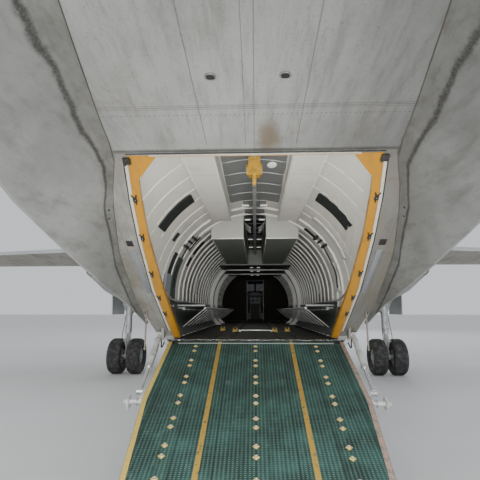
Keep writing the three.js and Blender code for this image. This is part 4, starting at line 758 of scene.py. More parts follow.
@once
def cockpit_teal():
    """Blue-green enamel of the dials' faces and the racks."""
    finish = Finish("cockpit_teal", coat=0.05)
    cloud = finish.noise(8.0, 4.0, 0.6)
    finish.colour(finish.mix(cloud, shade((0.05, 0.17, 0.17)), shade((0.09, 0.24, 0.24))))
    finish.feed("Roughness", 0.45 + cloud * 0.2)
    finish.bump(finish.noise(90.0), 0.0008, 0.5)
    return finish.material


def piece(name, bm, materials, body=AIRFRAME, angle=35.0):
    """Turns a bmesh into a finished object that rides on a body."""
    bmesh.ops.remove_doubles(bm, verts=bm.verts, dist=0.00002)
    bmesh.ops.recalc_face_normals(bm, faces=bm.faces)
    mesh = bpy.data.meshes.new(name)
    bm.to_mesh(mesh)
    bm.free()
    for material in materials if isinstance(materials, (list, tuple)) else [materials]:
        mesh.materials.append(material)
    mesh.polygons.foreach_set("use_smooth", [True] * len(mesh.polygons))
    mesh.set_sharp_from_angle(angle=math.radians(angle))
    made = bpy.data.objects.new(name, mesh)
    bpy.context.scene.collection.objects.link(made)
    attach(made, body)
    return made


def tint(bm, before, index):
    """Gives the faces made since the others were listed a material index."""
    for face in bm.faces:
        if face not in before:
            face.material_index = index


def add_block(bm, low, high, bevel=0.0, matrix=None, index=0):
    """A box between two corners, turned by a matrix, with rounded edges."""
    low, high = Vector(low), Vector(high)
    before = set(bm.faces) if index else None
    verts = bmesh.ops.create_cube(bm, size=1.0)["verts"]
    bmesh.ops.scale(bm, vec=high - low, verts=verts)
    bmesh.ops.translate(bm, vec=(high + low) / 2, verts=verts)
    if matrix:
        bmesh.ops.transform(bm, matrix=matrix, verts=verts)
    if bevel:
        edges = list({edge for vert in verts for edge in vert.link_edges})
        bmesh.ops.bevel(bm, geom=edges, offset=bevel, affect="EDGES", segments=2, profile=0.5, material=-1)
    if index:
        tint(bm, before, index)


def add_tube(bm, start, end, radius, segments=12, end_radius=None, index=0):
    """A closed round bar between two points."""
    start, end = Vector(start), Vector(end)
    along = end - start
    turn = along.to_track_quat("Z", "Y").to_matrix().to_4x4()
    before = set(bm.faces) if index else None
    bmesh.ops.create_cone(bm, cap_ends=True, segments=segments, radius1=radius,
                          radius2=radius if end_radius is None else end_radius, depth=along.length,
                          matrix=Matrix.Translation((start + end) / 2) @ turn)
    if index:
        tint(bm, before, index)


def add_ball(bm, centre, radius, flatten=(1, 1, 1), segments=12, index=0):
    """A ball, flattened along the axes."""
    before = set(bm.faces) if index else None
    matrix = Matrix.Translation(centre) @ Matrix.Diagonal((*flatten, 1.0))
    bmesh.ops.create_uvsphere(bm, u_segments=segments, v_segments=max(4, segments // 2), radius=radius,
                              matrix=matrix)
    if index:
        tint(bm, before, index)


def add_turned(bm, profile, centre, axis, segments=48, index=0):
    """A closed profile of (radius, distance along the axis) points spun round an axis."""
    centre, axis = Vector(centre), Vector(axis).normalized()
    side = axis.orthogonal().normalized()
    before = set(bm.faces) if index else None
    verts = [bm.verts.new(centre + side * radius + axis * along) for radius, along in profile]
    edges = [bm.edges.new(pair) for pair in zip(verts, verts[1:])]
    bmesh.ops.spin(bm, geom=verts + edges, cent=centre, axis=axis, dvec=(0, 0, 0), angle=2 * math.pi,
                   steps=segments, use_merge=True, use_duplicate=False)
    if index:
        tint(bm, before, index)


def add_pipe(bm, points, radius, segments=8, index=0):
    """A smooth round pipe through a few points."""
    curve = bpy.data.curves.new("pipe", "CURVE")
    curve.dimensions = "3D"
    curve.bevel_depth = radius
    curve.bevel_resolution = max(1, segments // 4)
    curve.use_fill_caps = True
    spline = curve.splines.new("BEZIER")
    spline.bezier_points.add(len(points) - 1)
    for knot, point in zip(spline.bezier_points, points):
        knot.co = point
        knot.handle_left_type = knot.handle_right_type = "AUTO"
    curve.resolution_u = 6
    holder = bpy.data.objects.new("pipe", curve)
    bpy.context.scene.collection.objects.link(holder)
    bpy.context.view_layer.update()
    graph = bpy.context.evaluated_depsgraph_get()
    mesh = bpy.data.meshes.new_from_object(holder.evaluated_get(graph))
    before = set(bm.faces) if index else None
    bm.from_mesh(mesh)
    bpy.data.objects.remove(holder)
    bpy.data.curves.remove(curve)
    bpy.data.meshes.remove(mesh)
    if index:
        tint(bm, before, index)


def close_holes(bm):
    """Closes the open ends of bridged bars."""
    bmesh.ops.holes_fill(bm, edges=[edge for edge in bm.edges if edge.is_boundary], sides=0)


def add_strip(bm, rows, index=0):
    """A skin through rows of points, each with the same count, made by bridging their edge chains."""
    before = set(bm.faces) if index else None
    chains = []
    for row in rows:
        verts = [bm.verts.new(point) for point in row]
        chains.append([bm.edges.new(pair) for pair in zip(verts, verts[1:])])
    for first, second in zip(chains, chains[1:]):
        bmesh.ops.bridge_loops(bm, edges=first + second)
    if index:
        tint(bm, before, index)


def add_bar(bm, sections, index=0):
    """A bar through four-cornered sections, with its ends still open."""
    loops = [list(corner) for corner in zip(*sections)]
    add_strip(bm, loops + [loops[0]], index)


def add_chain(bm, points, radius):
    """Short bars from each point to the next."""
    for start, end in zip(points, points[1:]):
        add_tube(bm, start, end, radius, 6)


def add_ring(bm, centre, radius, thick, segments=14, axis=(0, 0, 1), index=0):
    """A ring of round bar."""
    profile = []
    for step in range(7):
        angle = 2 * math.pi * step / 6
        profile.append((radius + thick * math.cos(angle), thick * math.sin(angle)))
    add_turned(bm, profile, centre, axis, segments, index)


def between(rows, place):
    """The values of a table's columns at a place along its first one."""
    for low, high in zip(rows, rows[1:]):
        if place <= high[0]:
            share = (place - low[0]) / (high[0] - low[0])
            return [first + (last - first) * share for first, last in zip(low, high)]
    return list(rows[-1])


def section_at(y):
    """The fuselage section at a station of the hold or the tail."""
    if y >= SILL_Y:
        return BARREL
    _, top, waist, half = between(TAIL_ROWS, SILL_Y - y)
    return {"top": top, "waist": waist, "half": half}


def skin_point(section, angle, inset=0.0):
    """(x, z) on a fuselage section at an angle from its waist, moved inwards by the inset."""
    half = section["half"] - inset
    sine, cosine = math.sin(angle), math.cos(angle)
    if sine >= 0:
        return half * cosine, section["waist"] + (section["top"] - inset - section["waist"]) * sine
    share = 2 / LOBE_POWER
    depth = section["waist"] - (BARREL["bottom"] + inset)
    side = math.copysign(abs(cosine) ** share, cosine)
    return half * side, section["waist"] - depth * abs(sine) ** share


def angle_at(section, z, inset=0.0):
    """The angle from the waist at which a section reaches a height."""
    if z >= section["waist"]:
        return math.asin(min(1.0, (z - section["waist"]) / (section["top"] - inset - section["waist"])))
    depth = section["waist"] - (BARREL["bottom"] + inset)
    return -math.asin(min(1.0, ((section["waist"] - z) / depth) ** (LOBE_POWER / 2)))


def wall_x(y, z, inset=0.0):
    """Half width of the skin at a station and a height."""
    section = section_at(y)
    return skin_point(section, angle_at(section, z, inset), inset)[0]


def crown_z(x, inset=WALL):
    """Height of the barrel's inner skin over a distance from the centre line."""
    half = BARREL["half"] - inset
    return BARREL["waist"] + math.sqrt(half * half - x * x)


def hatch_point(x, aft, lift=0.0):
    """A point over the hatch plane and the flat behind it, at a distance aft of the sill."""
    z = min(HATCH_SILL_Z + HATCH_SLOPE * aft, HATCH_TOP_Z + CONE_SLOPE * (aft - HATCH_RUN))
    return Vector((x, SILL_Y - aft, z + lift))


def strake_point(aft, share, sign, off=0.0):
    """A point on a strake's inner face, from 0 at its root over 1 at its bulge to 2 at its lower edge."""
    rows = []
    for back, low_z, low_x in STRAKE_ROWS:
        top_z = hatch_point(0, back).z
        root_x = wall_x(SILL_Y - back, top_z) - 0.004
        mid_x = (root_x + low_x) / 2 + 0.045 * min(1.0, (top_z - low_z) / 0.5)
        rows.append((back, root_x - 0.034, top_z, mid_x - 0.034, (top_z + low_z) / 2, low_x - 0.022, low_z))
    places = between(rows, aft)[1:]
    first = 2 * min(int(share), 1)
    part = share - first / 2
    x = places[first] + (places[first + 2] - places[first]) * part
    z = places[first + 1] + (places[first + 3] - places[first + 1]) * part
    return Vector((sign * (x - off), SILL_Y - aft, z))


def arc_points(y, inset, low_z, steps, high_z=None, sign=0):
    """Points on the inner skin at a station, from one side's height to the other's or up to high_z."""
    section = section_at(y)
    start = angle_at(section, low_z, inset)
    end = math.pi - start if high_z is None else angle_at(section, high_z, inset)
    points = []
    for step in range(steps + 1):
        x, z = skin_point(section, start + (end - start) * step / steps, inset)
        points.append(Vector((x * (sign or 1), y, z)))
    return points


def low_edge(y):
    """How far down the lining reaches at a station."""
    return FLOOR_Z + 0.01 if y > SILL_Y else max(FLOOR_Z + 0.12, hatch_point(0, SILL_Y - y).z + 0.125)


def side_top(y):
    """How high the side frames and their lining reach under the ducts, the panels and the wing bay."""
    if y < DUCT["front"]:
        return crown_z(DUCT["outer"] + 0.01)
    if PANEL["back"] < y < PANEL["front"]:
        return crown_z(PANEL["outer"] + 0.01)
    if BAY["back"] <= y < BAY["front"]:
        return BAY["low"]
    return crown_z(PANEL["inner"])


def ramp_point(x, along, up):
    """A point given in the ramp's own frame, along the deck from its hinge and up from the hinge line."""
    sine, cosine = math.sin(RAMP_SLOPE), math.cos(RAMP_SLOPE)
    return Vector((x, SILL_Y - along * cosine - up * sine, HINGE_Z - along * sine + up * cosine))


RAMP_TURN = Matrix.Translation((0, SILL_Y, HINGE_Z)) @ Matrix.Rotation(RAMP_SLOPE, 4, "X")


def add_band(bm, profile, low, high=None, sign=0, steps=26, index=0):
    """A closed bar along the inner skin, swept from the (station, inset) corners of its section."""
    before = set(bm.faces) if index else None
    chains = []
    for y, inset in profile:
        start = low(y) if callable(low) else low
        verts = [bm.verts.new(point) for point in arc_points(y, inset, start, steps, high, sign)]
        chains.append([bm.edges.new(pair) for pair in zip(verts, verts[1:])])
    for first, second in zip(chains, chains[1:] + chains[:1]):
        bmesh.ops.bridge_loops(bm, edges=first + second)
    close_holes(bm)
    if index:
        tint(bm, before, index)


def add_patch(bm, y0, y1, z0, z1, sign, inset, thick, index=0):
    """A curved plate on one side's inner skin between two stations and two heights."""
    corners = ((y0, inset), (y0, inset + thick), (y1, inset + thick), (y1, inset))
    add_band(bm, corners, z0, z1, sign, 8, index)


def soft_shading(angle):
    """A node group that merges a CAD node's loose triangles and shades it smooth up to an angle."""
    group = bpy.data.node_groups.new("soft_shading", "GeometryNodeTree")
    for way in ("INPUT", "OUTPUT"):
        group.interface.new_socket("Geometry", in_out=way, socket_type="NodeSocketGeometry")
    nodes, links = group.nodes, group.links
    entry, leave = nodes.new("NodeGroupInput"), nodes.new("NodeGroupOutput")
    merge = nodes.new("GeometryNodeMergeByDistance")
    merge.inputs["Distance"].default_value = 0.00005
    soft = nodes.new("GeometryNodeSetShadeSmooth")
    bend = nodes.new("GeometryNodeInputMeshEdgeAngle")
    sharp = nodes.new("FunctionNodeCompare")
    sharp.data_type = "FLOAT"
    sharp.operation = "GREATER_THAN"
    sharp.inputs[1].default_value = math.radians(angle)
    keep = nodes.new("GeometryNodeSetShadeSmooth")
    keep.domain = "EDGE"
    keep.inputs["Shade Smooth"].default_value = False
    links.new(entry.outputs[0], merge.inputs["Geometry"])
    links.new(merge.outputs[0], soft.inputs["Geometry"])
    links.new(soft.outputs[0], keep.inputs["Geometry"])
    links.new(bend.outputs["Unsigned Angle"], sharp.inputs[0])
    links.new(sharp.outputs[0], keep.inputs["Selection"])
    links.new(keep.outputs[0], leave.inputs[0])
    return group


def colour_prop(name, description, rgb):
    """A colour that a user may change."""
    return FloatVectorProperty(name=name, description=description, default=rgb, subtype="COLOR",
                               min=0.0, max=1.0)


def length_prop(name, description, metres):
    """A length that a user may change."""
    return FloatProperty(name=name, description=description, default=metres, unit="LENGTH", min=0.001)


class PlaneLook(bpy.types.PropertyGroup):
    """Colours and pitches of the whole plane"""

    skin_colour: colour_prop("Skin", "Outer paint of the plane", (0.40, 0.41, 0.40))
    lining_colour: colour_prop("Lining", "Lining and ducts of the hold", (0.80, 0.78, 0.71))
    rib_colour: colour_prop("Frames", "Enamel on the hold's frames", (0.88, 0.88, 0.85))
    amber_colour: colour_prop("Hatch frame", "Amber enamel round the hatch", (0.40, 0.185, 0.006))
    seat_colour: colour_prop("Seat fabric", "Canvas of the benches and seats", (0.035, 0.075, 0.060))
    seam_pitch: length_prop("Panel pitch", "Distance between the skin's panel seams", 0.84)
    rib_pitch: length_prop("Frame pitch", "Distance between the hold's frames", 0.42)
    rib_depth: length_prop("Frame depth", "How far a frame stands in from the skin", 0.034)
    rib_width: length_prop("Frame width", "Width of a frame's face", 0.016)


class PlaneRamp(bpy.types.PropertyGroup):
    """Colours and fittings of the ramp"""

    deck_colour: colour_prop("Deck", "Anti-slip paint of the ramp", (0.016, 0.050, 0.042))
    stripe_colour: colour_prop("Stripes", "Wheel guide stripes of the ramp", (0.36, 0.23, 0.045))
    stripe_offset: length_prop("Stripe offset", "Distance of each stripe from the centre line", 0.485)
    stripe_width: length_prop("Stripe width", "Width of each stripe", 0.048)
    tie_downs: IntProperty(name="Tie-down rows", description="Rows of tie-down fittings", default=8, min=1)


class PlaneWheels(bpy.types.PropertyGroup):
    """Tread of the tyres"""

    segments: IntProperty(name="Tyre segments", description="Steps round a tyre", default=96, min=24)
    grooves: IntProperty(name="Grooves", description="Grooves round the tread", default=4, min=1)
    groove_depth: length_prop("Groove depth", "Depth of the tread's grooves", 0.010)


class PlaneStage(bpy.types.PropertyGroup):
    """Camera, floor and main light"""

    lens: FloatProperty(name="Lens", description="Focal length of the camera", default=30.0, unit="CAMERA")
    floor_size: length_prop("Floor size", "Edge of the studio floor", 400.0)
    key_power: FloatProperty(name="Key light", description="Power of the main soft light", default=2600.0,
                             unit="POWER")


# Each finish and the CAD nodes that wear it; a name that ends in _ stands for its left and its right node
FINISHES = (
    (skin_paint, ("cockpit_shell_", "crew_door", "wing_center", "wing_", "aileron_", "flap_", "nacelle_",
                  "tailplane", "elevator_", "fin", "rudder", "fuselage_belly", "nose_radome")),
    (hull_paint, ("hold_roof", "hold_side_", "tail_roof", "tail_side_", "tail_cone")),
    (strake_paint, ("strake_",)),
    (window_glass, ("cockpit_glass",)),
    (floor_paint, ("cargo_floor",)),
    (instrument_black, ("cockpit_floor",)),
    (amber_paint, ("hatch_frame",)),
    (hoist_paint, ("hoist",)),
    (leg_paint, ("main_leg_", "nose_leg", "nose_leg_housing", "ramp_barrel_", "hoist_rail")),
    (chrome, ("ramp_rod_",)),
    (deck_paint, ("ramp_deck",)),
    (hub_paint, ("main_hubs_", "nose_hubs")),
    (blade_paint, ("propeller_",)),
    (engine_metal, ("engine_",)),
)


class PLANE_OT_finishes(bpy.types.Operator):
    """Gives the frame's own solids their painted finishes and soft shading"""

    bl_idname = "plane.finishes"
    bl_label = "Finish the solids"

    def execute(self, context):
        group = soft_shading(28.0)
        for maker, stems in FINISHES:
            names = []
            for stem in stems:
                names += [stem + side for side, _ in SIDES] if stem.endswith("_") else [stem]
            for name in names:
                node = NODES[name]
                for slot in node.material_slots:
                    slot.material = maker()
                node.modifiers.new("soft_shading", "NODES").node_group = group
        return {"FINISHED"}


# Stations of the rearmost frame, of the lining's rear end and of the strong frames under the wing
FIRST_FRAME = -6.82
LAST_LINING = -7.72
STRONG_FRAMES = (1.45, 2.85)


def rib_stations():
    """The stations of the hold's thin frames, from the hatch forwards."""
    count = int((HOLD_FRONT - 0.2 - FIRST_FRAME) / look().rib_pitch)
    return [FIRST_FRAME + look().rib_pitch * step for step in range(count + 1)]


class PLANE_OT_frames(bpy.types.Operator):
    """Builds the thin white frames of the hold, the strong ones under the wing and the ducts' trims"""

    bl_idname = "plane.frames"
    bl_label = "Hold frames"

    def execute(self, context):
        bm = bmesh.new()
        half = look().rib_width / 2
        for y in rib_stations():
            deep = look().rib_depth * (0.35 if y < -4.5 else 1.0)
            section = [(y - half, WALL + 0.001), (y - half, WALL + deep), (y + half, WALL + deep),
                       (y + half, WALL + 0.001)]
            if y > BAY["front"]:
                add_band(bm, section, low_edge, None, 0, 30)
                continue
            for sign in LEFT_AND_RIGHT:
                add_band(bm, section, low_edge, side_top(y), sign, 16)
            if y < BAY["back"]:
                reach = DUCT["inner"] if y < DUCT["front"] else PANEL["inner"]
                thin = [(y + step, WALL + depth) for step, depth in ((-0.006, 0.001), (-0.006, 0.016),
                                                                     (0.006, 0.016), (0.006, 0.001))]
                add_band(bm, thin, crown_z(reach) + 0.002, None, 0, 8)
        for y in STRONG_FRAMES:
            section = [(y - 0.045, WALL + 0.001), (y - 0.045, WALL + 0.13), (y + 0.045, WALL + 0.13),
                       (y + 0.045, WALL + 0.001)]
            for sign in LEFT_AND_RIGHT:
                add_band(bm, section, low_edge, BAY["low"], sign, 16)
            add_block(bm, (-1.06, y - 0.045, BAY["low"] - 0.035),
                      (1.06, y + 0.045, BAY["low"] + 0.002), 0.006)
        for sign in LEFT_AND_RIGHT:
            for x in (DUCT["inner"], DUCT["outer"]):
                add_block(bm, (sign * x - 0.007, DUCT["back"] + 0.01, DUCT["low"] - 0.010),
                          (sign * x + 0.007, DUCT["front"], DUCT["low"] + 0.004), 0.003)
            add_block(bm, (sign * DUCT["inner"] - 0.016, DUCT["back"] + 0.01, DUCT["low"] + 0.03),
                      (sign * DUCT["inner"] + 0.002, DUCT["front"], DUCT["low"] + 0.045), 0.004)
            edge = sorted((sign * PANEL["inner"], sign * PANEL["outer"]))
            for y in (PANEL["back"], PANEL["back"] + 0.035):
                add_block(bm, (edge[0], y - 0.012, PANEL["low"] - 0.014), (edge[1], y + 0.002, PANEL["low"]),
                          0.003)
            for x in (PANEL["inner"], PANEL["outer"]):
                add_block(bm, (sign * x - 0.006, PANEL["back"], PANEL["low"] - 0.006),
                          (sign * x + 0.006, PANEL["front"], PANEL["low"] + 0.003), 0.002)
        piece("hold_frames", bm, rib_white())
        return {"FINISHED"}


class PLANE_OT_lining(bpy.types.Operator):
    """Builds the cream lining between the frames, the dark ceiling over the rail and the bulkhead's cover"""

    bl_idname = "plane.lining"
    bl_label = "Hold lining"

    def execute(self, context):
        half = look().rib_width / 2
        stations = [LAST_LINING, *rib_stations()]
        lining, ceiling = bmesh.new(), bmesh.new()
        for back, front in zip(stations, stations[1:]):
            first, last = back + half, front - half
            puff = 0.022 if back > -4.0 else 0.004
            profile = [(first, WALL + 0.0005)]
            for share, lift in ((0.02, 0.3), (0.14, 0.8), (0.5, 1.0), (0.86, 0.8), (0.98, 0.3)):
                profile.append((first + (last - first) * share, WALL + 0.001 + puff * lift))
            profile.append((last, WALL + 0.0005))
            top = min(side_top(first), side_top(last))
            for sign in LEFT_AND_RIGHT:
                add_band(lining, profile, lambda y: low_edge(y) + 0.005, top, sign, 14)
            if first > BAY["back"] - 0.1 and last < BAY["front"] + 0.1:
                continue
            reach = DUCT["inner"] if last < DUCT["front"] else PANEL["inner"]
            plate = [(first, WALL + 0.001), (first, WALL + 0.012), (last, WALL + 0.012), (last, WALL + 0.001)]
            add_band(ceiling, plate, crown_z(reach) + 0.001, None, 0, 6)
        piece("hold_lining", lining, lining_cream())
        add_block(ceiling, (-BAY["half"] + 0.1, BAY["back"] + 0.02, BAY["low"] - 0.008),
                  (BAY["half"] - 0.1, BAY["front"] - 0.02, BAY["low"] + 0.002), 0.003)
        piece("hold_ceiling", ceiling, ceiling_grey())

        bm = bmesh.new()
        door_half, door_top, cover_top, y = 0.35, 3.16, 3.5, HOLD_FRONT - 0.03
        heights = [FLOOR_Z + 0.01 + (cover_top - FLOOR_Z) * step / 14 for step in range(15)]
        for sign in LEFT_AND_RIGHT:
            inner = [(sign * door_half, y, z) for z in heights]
            outer = [(sign * max(door_half + 0.01, wall_x(0, z, WALL) - 0.02), y, z) for z in heights]
            add_strip(bm, [inner, outer])
        add_strip(bm, [[(x, y, z) for z in (door_top, cover_top)] for x in (-door_half, door_half)])
        bmesh.ops.recalc_face_normals(bm, faces=bm.faces)
        bmesh.ops.solidify(bm, geom=bm.faces[:], thickness=0.02)
        piece("bulkhead_cover", bm, quilt_dark())
        return {"FINISHED"}


# Wall openings filled with black sheets of painted shade: rear and front station, lower and upper height, and
# the sides that have one
WALL_SLOTS = (
    (-5.92, -5.60, 2.89, 3.29, LEFT_AND_RIGHT),
    (-5.03, -4.92, 2.88, 2.99, (-1,)),
    (-4.52, -4.34, 2.45, 2.78, (-1,)),
    (-3.90, -3.72, 2.91, 3.15, (-1,)),
    (-3.42, -3.18, 2.92, 3.15, (-1,)),
    (-3.42, -3.18, 2.70, 2.86, (-1,)),
    (-4.02, -3.90, 3.07, 3.25, (1,)),
)
# Enamelled wall panels: rear and front station, heights, side and index of the colour
WALL_PANELS = (
    (-4.68, -4.32, 1.98, 2.44, -1, 0),
    (-4.26, -3.92, 1.98, 2.74, -1, 1),
    (-4.66, -4.32, 1.62, 1.95, -1, 2),
    (-1.82, -1.50, 2.26, 2.60, -1, 2),
    (0.70, 0.95, 2.26, 2.60, -1, 2),
    (-4.12, -3.86, 2.20, 2.66, 1, 2),
    (-2.30, -2.02, 2.24, 2.64, 1, 2),
    (-4.95, -4.78, 2.62, 3.22, 1, 2),
    (0.20, 0.45, 2.26, 2.60, 1, 2),
)


class PLANE_OT_hold_fittings(bpy.types.Operator):
    """Builds black sheets of painted shade in the wall openings, the wall panels, lamps, pipes, floor
    fittings and sill strip of the hold
    """

    bl_idname = "plane.hold_fittings"
    bl_label = "Hold fittings"

    def execute(self, context):
        bm = bmesh.new()
        # Black sheets in the wall openings: painted shade of the cavities behind them.
        for y0, y1, z0, z1, sides in WALL_SLOTS:
            for sign in sides:
                add_patch(bm, y0, y1, z0, z1, sign, WALL + 0.012, 0.016)
        piece("wall_slots", bm, opening_shade_cloth())

        bm = bmesh.new()
        for sign in LEFT_AND_RIGHT:
            add_patch(bm, -3.92, 6.15, 1.50, 2.03, sign, WALL + 0.036, 0.012)
            add_patch(bm, SILL_Y + 0.1, -3.94, 1.50, 1.95, sign, WALL + 0.028, 0.010)
        piece("wall_aprons", bm, panel_paint(0.050, 0.062, 0.055))

        bm = bmesh.new()
        for y0, y1, z0, z1, sign, index in WALL_PANELS:
            add_patch(bm, y0, y1, z0, z1, sign, WALL + 0.02, 0.03, index)
        piece("wall_panels", bm, [panel_paint(0.27, 0.29, 0.32), panel_paint(0.045, 0.065, 0.055),
                                  panel_paint(0.66, 0.66, 0.62)])

        bm = bmesh.new()
        for y, x in ((-4.5, 0.144), (-3.5, 0.13), (-1.45, 0.10), (-0.28, 0.10)):
            for sign in LEFT_AND_RIGHT:
                add_block(bm, (sign * x - 0.055, y - 0.02, 3.515), (sign * x + 0.055, y + 0.02, 3.535), 0.006)
        for y in (0.8, 1.9, 3.3):
            for x in (-0.10, 0.10):
                add_block(bm, (x - 0.045, y - 0.02, BAY["low"] - 0.024),
                          (x + 0.045, y + 0.02, BAY["low"] - 0.006), 0.005)
        add_ball(bm, (0.2, -6.31, 3.515), 0.055, (1.0, 1.6, 0.3), 24)
        piece("hold_lamps", bm, lamp_glass())

        bm = bmesh.new()
        for sign in LEFT_AND_RIGHT:
            low_x = wall_x(0, 2.05, 0.12)
            add_tube(bm, (sign * low_x, -3.9, 2.05), (sign * low_x, 6.1, 2.05), 0.016, 10)
            add_pipe(bm, [Vector((sign * low_x, -3.9, 2.05)), Vector((sign * low_x, -4.3, 2.07)),
                          Vector((sign * low_x, -4.75, 2.16))], 0.016, 10)
            add_tube(bm, (sign * 0.17, -3.6, 3.44), (sign * 0.17, 0.25, 3.44), 0.010, 8)
            for step, (z, radius) in enumerate(((2.90, 0.026), (2.98, 0.020), (3.05, 0.024))):
                x = wall_x(-4.3, z, 0.12)
                add_tube(bm, (sign * x, -4.42 + step * 0.05, z), (sign * x, -4.08 + step * 0.04, z + 0.02),
                         radius, 10, index=1)
            points = [Vector((sign * wall_x(-4.2, z, 0.115), -4.18 + bend, z))
                      for z, bend in ((2.92, 0.0), (2.72, 0.07), (2.5, 0.03), (2.25, 0.08))]
            add_pipe(bm, points, 0.013, 8, 1)
            for step in range(5):
                y = -3.45 + step * 0.11
                add_tube(bm, (sign * 0.10, y, 3.40), (sign * 0.17, y + 0.05, 3.47), 0.012, 8)
                add_ball(bm, (sign * (0.09 + 0.02 * (step % 2)), y, 3.39), 0.022, segments=8)
        piece("hold_pipes", bm, [leg_paint(), rubber()])

        bm = bmesh.new()
        for row in range(23):
            y = -4.6 + row * 0.48
            for x in (-1.05, -0.62, -0.35, 0.35, 0.62, 1.05):
                add_tube(bm, (x, y, FLOOR_Z + 0.0005), (x, y, FLOOR_Z + 0.006), 0.038, 14)
                add_ring(bm, (x, y, FLOOR_Z + 0.009), 0.022, 0.005)
        for x, y in ((-0.68, -2.1), (-0.40, -2.54), (0.38, -2.6), (0.64, -2.4)):
            add_block(bm, (x - 0.035, y - 0.04, FLOOR_Z + 0.001),
                      (x + 0.035, y + 0.04, FLOOR_Z + 0.05), 0.008, index=1)
            for side in (-0.05, 0.05):
                add_tube(bm, (x + side, y, FLOOR_Z + 0.001), (x + side * 0.5, y, FLOOR_Z + 0.085), 0.012, 8,
                         index=1)
        piece("floor_fittings", bm, [soot(), fitting_yellow()])

        bm = bmesh.new()
        bmesh.ops.create_grid(bm, x_segments=200, y_segments=6, size=0.5)
        bmesh.ops.scale(bm, vec=(2.36, 1.0, 1), verts=bm.verts)
        for vert in bm.verts:
            x = vert.co.x
            flare = max(0.0, min(1.0, (abs(x + 0.05) - 0.85) / 0.12))
            vert.co.y = vert.co.y * (0.022 + 0.075 * flare)
            ripple = math.sin(x * 61) * math.sin(vert.co.y * 90 + x * 7)
            vert.co.z = 0.005 + (0.002 + 0.010 * flare) * ripple + 0.002 * math.sin(x * 23 + 1.3)
        bmesh.ops.translate(bm, vec=(0, SILL_Y + 0.075, FLOOR_Z + 0.008), verts=bm.verts)
        bmesh.ops.solidify(bm, geom=bm.faces[:], thickness=0.002)
        add_block(bm, (-0.34, -2.55, FLOOR_Z + 0.02), (0.36, -2.51, FLOOR_Z + 0.045), 0.006)
        for x in (-0.3, 0.32):
            add_block(bm, (x - 0.02, -2.56, FLOOR_Z + 0.001), (x + 0.02, -2.50, FLOOR_Z + 0.03), 0.003)
        piece("sill_strip", bm, sill_metal())
        return {"FINISHED"}


class PLANE_OT_benches(bpy.types.Operator):
    """Builds the folding benches: light tubes and raked braces under sagging canvas laced to them"""

    bl_idname = "plane.benches"
    bl_label = "Benches"

    def execute(self, context):
        inner, outer, tube_z, bays = 0.86, 1.23, 1.93, 19
        for name, sign in SIDES:
            low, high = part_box(f"bench_{name}")
            length = high.y - low.y
            bm = bmesh.new()
            for x in (inner, outer):
                add_tube(bm, (sign * x, low.y, tube_z), (sign * x, high.y, tube_z), 0.020, 16)
            wall = wall_x(0, tube_z, WALL + 0.005)
            add_tube(bm, (sign * inner, low.y + 0.03, tube_z + 0.045),
                     (sign * wall, low.y + 0.03, tube_z + 0.045), 0.016, 12)
            for step in range(bays):
                y = low.y + 0.08 + step * (length - 0.16) / (bays - 1)
                add_tube(bm, (sign * (inner + 0.002), y, tube_z), (sign * 1.284, y, 1.583), 0.011, 10)
                add_tube(bm, (sign * outer, y, tube_z), (sign * wall, y, tube_z), 0.012, 10)
                add_block(bm, (sign * 1.235 - 0.03, y - 0.045, tube_z - 0.035),
                          (sign * 1.235 + 0.03, y + 0.045, tube_z - 0.022), 0.004)
            tubes = piece(f"bench_tubes_{name}", bm, leg_paint())
            bm = bmesh.new()
            bmesh.ops.create_grid(bm, x_segments=12, y_segments=180, size=0.5)
            width, cloth_length = 0.37, length - 0.12
            bmesh.ops.scale(bm, vec=(width, cloth_length, 1), verts=bm.verts)
            for vert in bm.verts:
                across = vert.co.x / width * 2
                bay = abs(math.sin(math.pi * (vert.co.y / cloth_length + 0.5) * bays))
                vert.co.z = 0.024 - 0.010 * (1 - across * across) * (0.35 + 0.65 * bay)
            bmesh.ops.translate(bm, vec=(sign * 1.045, (low.y + high.y) / 2, tube_z), verts=bm.verts)
            bmesh.ops.solidify(bm, geom=bm.faces[:], thickness=0.002)
            canvas = piece(f"bench_canvas_{name}", bm, seat_fabric(), angle=60)
            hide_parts(f"bench_{name}")
        return {"FINISHED"}


def deck_half(along):
    """Half width of the ramp's deck at a distance from its hinge."""
    if along <= RAMP_TAPER_FROM:
        return RAMP_HALF
    share = (along - RAMP_TAPER_FROM) / (RAMP_LENGTH - RAMP_TAPER_FROM)
    return RAMP_HALF + (RAMP_TOE_HALF - RAMP_HALF) * share


